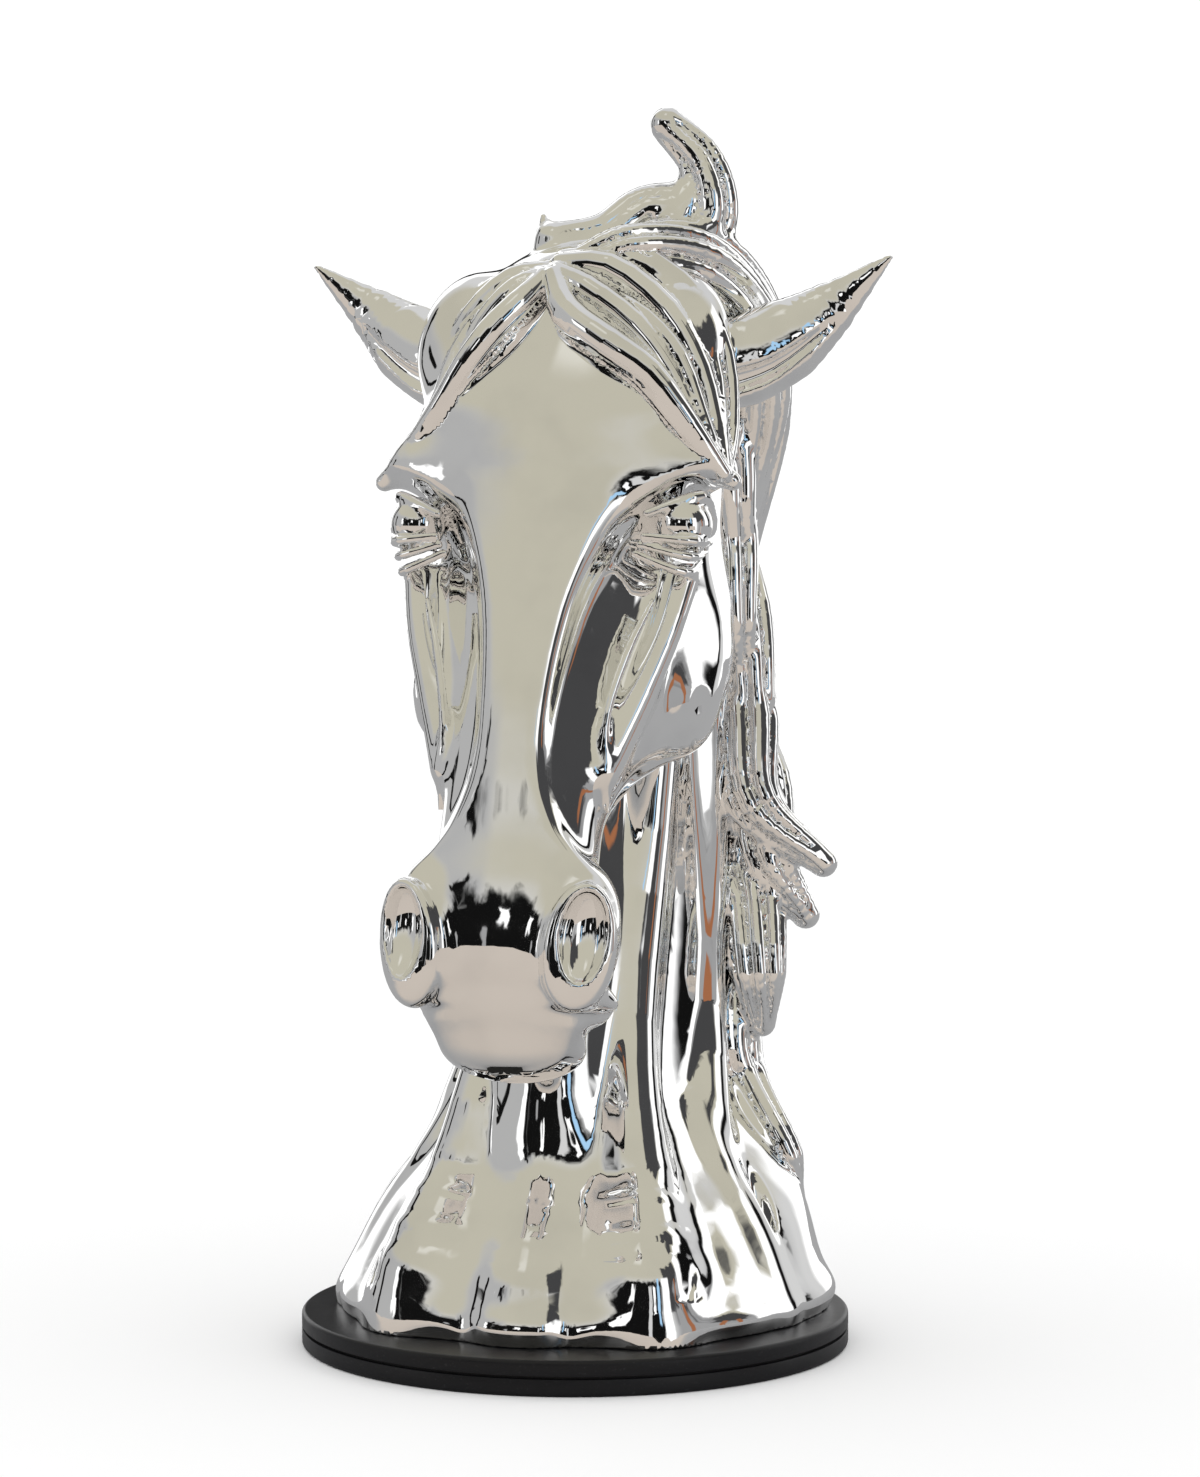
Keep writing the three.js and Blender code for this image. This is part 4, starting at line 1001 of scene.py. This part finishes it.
    def settle(self, points: Array) -> Array:
        """Moves points onto the surface, along its slope.

        Args:
            points: Three rows of coordinates.

        Returns:
            The points, moved.
        """
        depth, slope = self.slope(points)
        square = np.maximum((slope * slope).sum(0), self.least_slope)
        return points - slope * np.clip(depth / square, -self.stride, self.stride)


class Value:
    """A number that changes over a surface: a socket that Python's operators work on."""

    def __init__(self, nodes: "Nodes", socket: bpy.types.NodeSocket) -> None:
        """Wraps a socket of the tree that nodes builds."""
        self.nodes, self.socket = nodes, socket

    def __add__(self, other: "Value | float") -> "Value":
        """Adds."""
        return self.nodes.math("ADD", self, other)

    __radd__ = __add__

    def __sub__(self, other: "Value | float") -> "Value":
        """Takes away."""
        return self.nodes.math("SUBTRACT", self, other)

    def __rsub__(self, other: float) -> "Value":
        """Is taken away from a number."""
        return self.nodes.math("SUBTRACT", other, self)

    def __mul__(self, other: "Value | float") -> "Value":
        """Multiplies."""
        return self.nodes.math("MULTIPLY", self, other)

    __rmul__ = __mul__


@dataclass(frozen=True)
class Mottle:
    """Noise over a surface, and the band of it over which patches rise."""

    scale: float
    detail: float
    roughness: float = 0.5
    low: float = 0.0
    high: float = 1.0


class Nodes:
    """Builds a node tree."""

    def __init__(self, tree: bpy.types.NodeTree) -> None:
        """Empties the tree."""
        self.tree = tree
        tree.nodes.clear()

    def node(
        self, kind: str, settings: dict[str, Any] | None = None, inputs: dict[Any, Any] | None = None
    ) -> bpy.types.Node:
        """Adds a node.

        Args:
            kind: The node's type.
            settings: Its properties.
            inputs: Values or links of its sockets, by name or number.

        Returns:
            The node.
        """
        node = self.tree.nodes.new(kind)
        for name, setting in (settings or {}).items():
            setattr(node, name, setting)
        for name, value in (inputs or {}).items():
            self.feed(node.inputs[name], value)
        return node

    def feed(self, socket: bpy.types.NodeSocket, value: Any) -> None:
        """Links a socket to another, or sets it."""
        if isinstance(value, Value):
            value = value.socket
        if isinstance(value, bpy.types.NodeSocket):
            self.tree.links.new(value, socket)
        else:
            socket.default_value = value

    def math(self, operation: str, *values: "Value | float") -> Value:
        """A Math node on values or numbers."""
        node = self.node("ShaderNodeMath", {"operation": operation}, dict(enumerate(values)))
        return Value(self, node.outputs[0])

    def noise(self, mottle: Mottle, frame: str = "Object") -> Value:
        """Noise in the piece's own coordinates, or in the world's with the frame Generated."""
        sizes = {
            "Vector": self.node("ShaderNodeTexCoord").outputs[frame],
            "Scale": mottle.scale,
            "Detail": mottle.detail,
            "Roughness": mottle.roughness,
        }
        return Value(self, self.node("ShaderNodeTexNoise", None, sizes).outputs["Fac"])

    def patches(self, mottle: Mottle) -> Value:
        """Soft patches, 0 between them and 1 inside."""
        return self.step(self.noise(mottle), mottle.low, mottle.high)

    def mix(self, share: "Value | float", a: Any, b: Any) -> bpy.types.NodeSocket:
        """Mixes two colours."""
        node = self.node("ShaderNodeMix", {"data_type": "RGBA"}, {0: share, 6: a, 7: b})
        return node.outputs[2]

    def step(self, value: Value, low: float, high: float) -> Value:
        """Rises smoothly from 0 to 1 between two values."""
        node = self.node(
            "ShaderNodeMapRange",
            {"interpolation_type": "SMOOTHSTEP"},
            {0: value, 1: low, 2: high, 3: 0.0, 4: 1.0},
        )
        return Value(self, node.outputs[0])

    def seen_or_mirrored(self, seen: bpy.types.Node, mirrored: bpy.types.Node) -> bpy.types.NodeSocket:
        """Shows one shader to the camera and another to what the chrome mirrors."""
        ray = self.node("ShaderNodeLightPath").outputs["Is Glossy Ray"]
        shaders = {0: ray, 1: seen.outputs[0], 2: mirrored.outputs[0]}
        return self.node("ShaderNodeMixShader", None, shaders).outputs[0]

    def surface(self, inputs: dict[str, Any], height: Value, strength: float, distance: float) -> None:
        """Ends a material with its surface, over a bump.

        Args:
            inputs: The surface's inputs, by name.
            height: The bump's height.
            strength: How strong the bump is.
            distance: How deep it is, in metres.
        """
        sizes = {"Strength": strength, "Distance": distance, "Height": height}
        bump = self.node("ShaderNodeBump", None, sizes).outputs[0]
        skin = self.node("ShaderNodeBsdfPrincipled", None, {**inputs, "Normal": bump})
        self.node("ShaderNodeOutputMaterial", None, {"Surface": skin.outputs[0]})


def new_material(name: str) -> tuple[bpy.types.Material, Nodes]:
    """An empty material.

    Args:
        name: Its name.

    Returns:
        The material and the builder of its nodes.
    """
    material = bpy.data.materials.new(name)
    material.use_nodes = True
    return material, Nodes(material.node_tree)


@dataclass(frozen=True)
class Chrome:
    """Electroplated chrome over a hand-finished cast: a mirror with a faint waviness."""

    colour: tuple[float, float, float, float] = (0.93, 0.93, 0.925, 1)
    tarnish: tuple[float, float, float, float] = (0.86, 0.86, 0.86, 1)
    polish: float = 0.025
    dullness: float = 0.05
    film: Mottle = Mottle(21, 3, low=0.45, high=0.75)
    haze: Mottle = Mottle(55, 4, 0.6, low=0.5, high=0.8)
    waves: Mottle = Mottle(38, 1.5, 0.4)
    waviness: float = 0.25
    wave_depth: float = 0.001

    def material(self) -> bpy.types.Material:
        """The chrome."""
        material, n = new_material("chrome")
        inputs = {
            "Base Color": n.mix(n.patches(self.film), self.colour, self.tarnish),
            "Metallic": 1.0,
            "Roughness": self.polish + self.dullness * n.patches(self.haze),
        }
        n.surface(inputs, n.noise(self.waves), self.waviness, self.wave_depth)
        return material


@dataclass(frozen=True)
class Lacquer:
    """Black satin lacquer, faintly uneven, with a little dust."""

    colour: tuple[float, float, float, float] = (0.006, 0.006, 0.007, 1)
    dust: tuple[float, float, float, float] = (0.02, 0.02, 0.021, 1)
    sheen: float = 0.3
    shine: float = 0.28
    unevenness: float = 0.12
    specks: Mottle = Mottle(900, 2, low=0.62, high=0.75)
    clouds: Mottle = Mottle(60, 5, 0.65)
    grain: Mottle = Mottle(700, 3)
    grain_strength: float = 0.12
    grain_depth: float = 0.0003

    def material(self) -> bpy.types.Material:
        """The lacquer."""
        material, n = new_material("black_lacquer")
        inputs = {
            "Base Color": n.mix(n.patches(self.specks), self.colour, self.dust),
            "Roughness": self.sheen + self.unevenness * n.noise(self.clouds),
            "Specular IOR Level": self.shine,
        }
        n.surface(inputs, n.noise(self.grain), self.grain_strength, self.grain_depth)
        return material


def select_only(obj: bpy.types.Object) -> None:
    """Leaves one object selected and active."""
    bpy.ops.object.select_all(action="DESELECT")
    obj.select_set(True)
    bpy.context.view_layer.objects.active = obj


def select_edges(obj: bpy.types.Object, wanted: Callable[[Vector, Vector], bool]) -> None:
    """Selects edges by where their ends are, in edit mode.

    Args:
        obj: The object being edited.
        wanted: Tells whether an edge between two points is selected.
    """
    bpy.ops.mesh.select_mode(type="EDGE")
    bpy.ops.mesh.select_all(action="DESELECT")
    bpy.ops.object.mode_set(mode="OBJECT")
    vertices = obj.data.vertices
    for edge in obj.data.edges:
        a, b = (vertices[v].co for v in edge.vertices)
        edge.select = wanted(a, b)
    bpy.ops.object.mode_set(mode="EDIT")


@dataclass
class Plinth:
    """The turned plinth: a black disc with rounded rims and a groove round its edge."""

    finish: Lacquer = Lacquer()
    radius: float = 0.150
    height: float = PLINTH_TOP
    rounding: float = 0.0024
    groove_level: float = 0.010
    groove_width: float = 0.0016
    groove_depth: float = 0.003
    lip_rounding: float = 0.0004
    lip_segments: int = 2
    rim_segments: int = 6
    sides: int = 192
    smooth_angle: float = math.radians(40)

    def build(self) -> bpy.types.Object:
        """Turns the plinth.

        Returns:
            The plinth.
        """
        bpy.ops.object.select_all(action="DESELECT")
        bpy.ops.mesh.primitive_cylinder_add(
            vertices=self.sides,
            radius=self.radius,
            depth=self.height,
            location=(0, 0, self.height / 2),
            end_fill_type="NGON",
        )
        plinth = bpy.context.object
        plinth.name = plinth.data.name = "plinth_turned"
        bpy.ops.object.transform_apply(location=True, rotation=True, scale=True)
        bpy.ops.object.mode_set(mode="EDIT")
        for side in (-1, 1):
            bpy.ops.mesh.select_all(action="SELECT")
            level = self.groove_level + side * self.groove_width / 2
            bpy.ops.mesh.bisect(plane_co=(0, 0, level), plane_no=(0, 0, 1))
        self._cut_groove(plinth)
        self._round_rims(plinth)
        bpy.ops.mesh.select_all(action="SELECT")
        bpy.ops.mesh.normals_make_consistent(inside=False)
        bpy.ops.object.mode_set(mode="OBJECT")
        bpy.ops.object.shade_smooth_by_angle(angle=self.smooth_angle)
        plinth.data.materials.clear()
        plinth.data.materials.append(self.finish.material())
        return plinth

    def _cut_groove(self, plinth: bpy.types.Object) -> None:
        """Sinks the ring of faces between the two cuts."""
        bpy.ops.mesh.select_mode(type="FACE")
        bpy.ops.mesh.select_all(action="DESELECT")
        bpy.ops.object.mode_set(mode="OBJECT")
        for face in plinth.data.polygons:
            level = abs(face.center.z - self.groove_level)
            face.select = level < self.groove_width / 4 and abs(face.normal.z) < 0.1
        bpy.ops.object.mode_set(mode="EDIT")
        bpy.ops.mesh.extrude_region_shrink_fatten(
            TRANSFORM_OT_shrink_fatten={"value": -self.groove_depth}
        )
        lips = (self.groove_level - self.groove_width / 2, self.groove_level + self.groove_width / 2)

        def on_lip(a: Vector, b: Vector) -> bool:
            """Tells whether an edge is one of the groove's outer lips."""
            level = min(abs(a.z - lip) + abs(b.z - lip) for lip in lips)
            outermost = min(a.xy.length, b.xy.length) > self.radius - HAIRSBREADTH
            return level < HAIRSBREADTH and outermost

        select_edges(plinth, on_lip)
        bpy.ops.mesh.bevel(offset=self.lip_rounding, segments=self.lip_segments, affect="EDGES")

    def _round_rims(self, plinth: bpy.types.Object) -> None:
        """Rounds the top and bottom rims."""

        def on_rim(a: Vector, b: Vector) -> bool:
            """Tells whether an edge is on a rim."""
            return min(abs(a.z - z) + abs(b.z - z) for z in (0, self.height)) < HAIRSBREADTH

        select_edges(plinth, on_rim)
        bpy.ops.mesh.bevel(offset=self.rounding, segments=self.rim_segments, affect="EDGES")


@dataclass
class HorseBust:
    """The cast bust."""

    horse: Horse = field(default_factory=Horse)
    finish: Chrome = Chrome()
    low: Triple = (-18.4, -19.2, -1.24)
    high: Triple = (18.4, 18.2, 67.4)
    most_triangles: int = 196000
    box_low: Triple = (0, 0, 0)
    box_high: Triple = (0, 0, 0)

    def build(self, quality: Quality) -> bpy.types.Object:
        """Casts the bust, thins its mesh where it is plain and smooths its shading.

        Args:
            quality: How finely it is cast.

        Returns:
            The bust.
        """
        figure = self.horse.depth()
        standing = lambda points: np.maximum(figure(points), -points[2])
        casting = Casting(standing, self.low, self.high, quality.value)
        vertices, triangles = casting.net()
        log.info("cast %d triangles", len(triangles))
        mesh = bpy.data.meshes.new("horse_bust_cast")
        mesh.vertices.add(len(vertices))
        mesh.vertices.foreach_set("co", vertices.astype(np.float32).ravel())
        mesh.loops.add(triangles.size)
        mesh.loops.foreach_set("vertex_index", triangles.astype(np.int32).ravel())
        mesh.polygons.add(len(triangles))
        mesh.polygons.foreach_set("loop_start", np.arange(0, triangles.size, 3, dtype=np.int32))
        mesh.update(calc_edges=True)
        bust = bpy.data.objects.new("horse_bust_cast", mesh)
        bpy.context.scene.collection.objects.link(bust)
        if len(triangles) > self.most_triangles:
            select_only(bust)
            thinning = bust.modifiers.new("thinning", "DECIMATE")
            thinning.ratio = self.most_triangles / len(triangles)
            bpy.ops.object.modifier_apply(modifier=thinning.name)
        self._finish_surface(bust, casting)
        bust.data.materials.append(self.finish.material())
        return bust

    def _finish_surface(self, bust: bpy.types.Object, casting: Casting) -> None:
        """Moves the vertices onto the true surface, places the bust and sets its normals.

        Args:
            bust: The bust, still in modules.
            casting: What it was cast with.
        """
        mesh = bust.data
        points = np.empty(len(mesh.vertices) * 3, np.float32)
        mesh.vertices.foreach_get("co", points)
        points = casting.settle(points.reshape(-1, 3).T.astype(float))
        _, normals = casting.slope(points)
        normals /= np.linalg.norm(normals, axis=0) + TINY
        placed = points.T * MODULE + (0, 0, PLINTH_TOP)
        placed = np.clip(placed, self.box_low, self.box_high)
        mesh.vertices.foreach_set("co", placed.astype(np.float32).ravel())
        mesh.polygons.foreach_set("use_smooth", np.ones(len(mesh.polygons), bool))
        mesh.update()
        mesh.normals_split_custom_set_from_vertices(normals.T.tolist())


@dataclass(frozen=True)
class Panel:
    """A soft-edged patch of the studio, as the chrome mirrors it. Angles are in degrees.

    Azimuth 0 is in front of the horse and grows to its left, and elevation is above the horizon.
    """

    name: str
    azimuth: float
    elevation: float
    half_width: float
    half_height: float
    softness: float
    colour: tuple[float, float, float]
    ragged: float = 0.0


CREAM = (0.55, 0.525, 0.43)
PALE_CREAM = (0.74, 0.72, 0.64)
WHITE = (1.25, 1.25, 1.25)
SILVER = (0.68, 0.68, 0.68)
SILVER_GREY = (0.46, 0.46, 0.46)
GREY = (0.36, 0.36, 0.365)
DARK = (0.06, 0.06, 0.062)
BLACK = (0.006, 0.006, 0.006)
ROSE = (0.56, 0.5, 0.445)
BLUE = (0.42, 0.68, 0.95)
RUST = (0.38, 0.15, 0.07)

PANELS = (
    Panel("ceiling", 0, 90, 400, 64, 10, CREAM),
    Panel("ceiling_light", -14, 66, 14, 7, 5, PALE_CREAM),
    Panel("far_ceiling", 180, 60, 60, 30, 14, SILVER),
    Panel("left_wall", -80, 6, 52, 24, 6, SILVER_GREY),
    Panel("right_wall", 105, 4, 34, 22, 8, GREY),
    Panel("dark_room", 4, 4, 46, 20, 3, BLACK, 5),
    Panel("right_dark", 80, 30, 24, 16, 3, DARK, 5),
    Panel("left_window", -52, 12, 5, 9, 1, WHITE, 3),
    Panel("left_softbox", -146, 20, 17, 28, 3, WHITE),
    Panel("left_gap", -112, 10, 3.5, 24, 0.8, BLACK, 3),
    Panel("left_door", -88, 4, 3, 18, 0.8, BLACK, 2),
    Panel("right_softbox", 58, 6, 8, 22, 2, WHITE, 1),
    Panel("right_window", 118, 22, 9, 22, 2, WHITE, 1),
    Panel("rear_softbox", 168, 14, 14, 26, 3, WHITE),
    Panel("doorway", 24, 6, 3.2, 13, 0.8, SILVER, 2),
    Panel("bright_frame", -8, 14, 4, 5, 0.8, WHITE, 3),
    Panel("blue_edge", 42, 18, 2.2, 11, 0.6, BLUE, 2),
    Panel("lamp", 33, 15, 2.5, 4, 0.6, WHITE, 3),
    Panel("stand", -22, 2, 2.2, 6, 0.6, GREY, 2),
    Panel("rust_edge", 92, 4, 2.4, 15, 0.8, RUST, 1),
    Panel("dark_edge_left", -44, 4, 3, 22, 1, BLACK, 3),
    Panel("dark_edge_right", 134, 4, 5, 26, 1.5, BLACK, 2),
    Panel("dark_edge_back", -158, 2, 6, 30, 1.5, BLACK, 2),
)


@dataclass
class Studio:
    """The pale floor, the soft light and the camera."""

    distance: float = 2.2
    camera_height: float = 0.448
    azimuth: float = math.radians(16)
    pitch: float = math.radians(3.04)
    yaw: float = math.atan(25 / 4033)  # the figure stands 25 pixels off the middle
    lens: float = 98.3
    film_width: float = 36.0
    floor_radius: float = 9
    floor_sides: int = 96
    floor_colour: tuple[float, float, float, float] = (0.95, 0.95, 0.95, 1)
    table_edge: tuple[float, float] = (0.1, 0.3)  # how far ahead its mirrored colour turns warm
    light_strength: float = 1.1
    ragged: Mottle = Mottle(7.0, 4.0)
    panels: Sequence[Panel] = PANELS

    def camera(self) -> None:
        """Places the camera where the photograph was taken from."""
        data = bpy.data.cameras.new("camera")
        data.lens, data.sensor_width = self.lens, self.film_width
        camera = bpy.data.objects.new("camera", data)
        bpy.context.scene.collection.objects.link(camera)
        sin, cos = math.sin(self.azimuth), math.cos(self.azimuth)
        camera.location = (sin * self.distance, -cos * self.distance, self.camera_height)
        camera.rotation_euler = (math.pi / 2 - self.pitch, 0, self.azimuth - self.yaw)
        bpy.context.scene.camera = camera

    def floor(self) -> None:
        """Lays the pale floor, which the chrome mirrors as a warm table top."""
        bpy.ops.object.select_all(action="DESELECT")
        bpy.ops.mesh.primitive_circle_add(
            vertices=self.floor_sides, radius=self.floor_radius, fill_type="NGON"
        )
        floor = bpy.context.object
        floor.name = "floor"
        material, n = new_material("floor_paint")
        pale = n.node("ShaderNodeBsdfDiffuse", None, {"Color": self.floor_colour})
        place = n.node("ShaderNodeTexCoord").outputs["Object"]
        ahead = n.node("ShaderNodeSeparateXYZ", None, {0: place}).outputs[1]
        front = n.step(-1.0 * Value(n, ahead), *self.table_edge)
        table = n.mix(front, (*GREY, 1), (*ROSE, 1))
        warm = n.node("ShaderNodeBsdfDiffuse", None, {"Color": table})
        surface = n.seen_or_mirrored(pale, warm)
        n.node("ShaderNodeOutputMaterial", None, {"Surface": surface})
        floor.data.materials.append(material)

    def light(self) -> None:
        """Fills the world with soft white light, and with the studio that the chrome mirrors."""
        world = bpy.data.worlds.new("studio")
        bpy.context.scene.world = world
        world.use_nodes = True
        n = Nodes(world.node_tree)
        place = n.node("ShaderNodeTexCoord").outputs["Generated"]
        split = n.node("ShaderNodeSeparateXYZ", None, {0: place})
        x, y, z = (Value(n, socket) for socket in split.outputs)
        azimuth = n.math("ARCTAN2", x, -1.0 * y) * math.degrees(1)
        elevation = n.math("ARCSINE", z) * math.degrees(1)
        shift = n.noise(self.ragged, "Generated") - 0.5
        colour: Any = (*SILVER, 1)
        for panel in self.panels:
            share = self._mask(n, panel, azimuth, elevation, shift)
            colour = n.mix(share, colour, (*panel.colour, 1))
            colour.node.label = panel.name
        light = n.node("ShaderNodeBackground", None, {0: (1, 1, 1, 1), 1: self.light_strength})
        room = n.node("ShaderNodeBackground", None, {0: colour, 1: 1.0})
        n.node("ShaderNodeOutputWorld", None, {0: n.seen_or_mirrored(light, room)})

    @staticmethod
    def _mask(n: Nodes, panel: Panel, azimuth: Value, elevation: Value, shift: Value) -> Value:
        """How much of a panel shows in each direction.

        Args:
            n: The world's nodes.
            panel: The panel.
            azimuth: The direction's azimuth.
            elevation: The direction's elevation.
            shift: Noise that makes the edges ragged.

        Returns:
            The mask, from 0 to 1.
        """
        turn = n.math("WRAP", azimuth - panel.azimuth, 180.0, -180.0)
        noise = shift * (4 * panel.ragged)
        soft = panel.softness
        across = n.math("ABSOLUTE", turn + noise)
        up = n.math("ABSOLUTE", elevation + noise - panel.elevation)
        wide = 1 - n.step(across, panel.half_width - soft, panel.half_width + soft)
        high = 1 - n.step(up, panel.half_height - soft, panel.half_height + soft)
        return wide * high


def main() -> None:
    """Builds the pieces in order, dresses them and sets the stage."""
    logging.basicConfig(level=logging.INFO, format="%(message)s")
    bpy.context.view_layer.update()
    bpy.context.scene.view_settings.view_transform = "Standard"
    quality = Quality.FINE

    low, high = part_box("horse_bust")
    bust = HorseBust(box_low=tuple(low), box_high=tuple(high)).build(quality)
    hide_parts("horse_bust")
    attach(bust, "root")
    log.info("%s: %d triangles", bust.name, len(bust.data.polygons))

    plinth = Plinth().build()
    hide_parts("plinth")
    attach(plinth, "root")
    log.info("%s: %d faces", plinth.name, len(plinth.data.polygons))

    studio = Studio()
    studio.floor()
    studio.light()
    studio.camera()


if __name__ == "__main__":
    main()
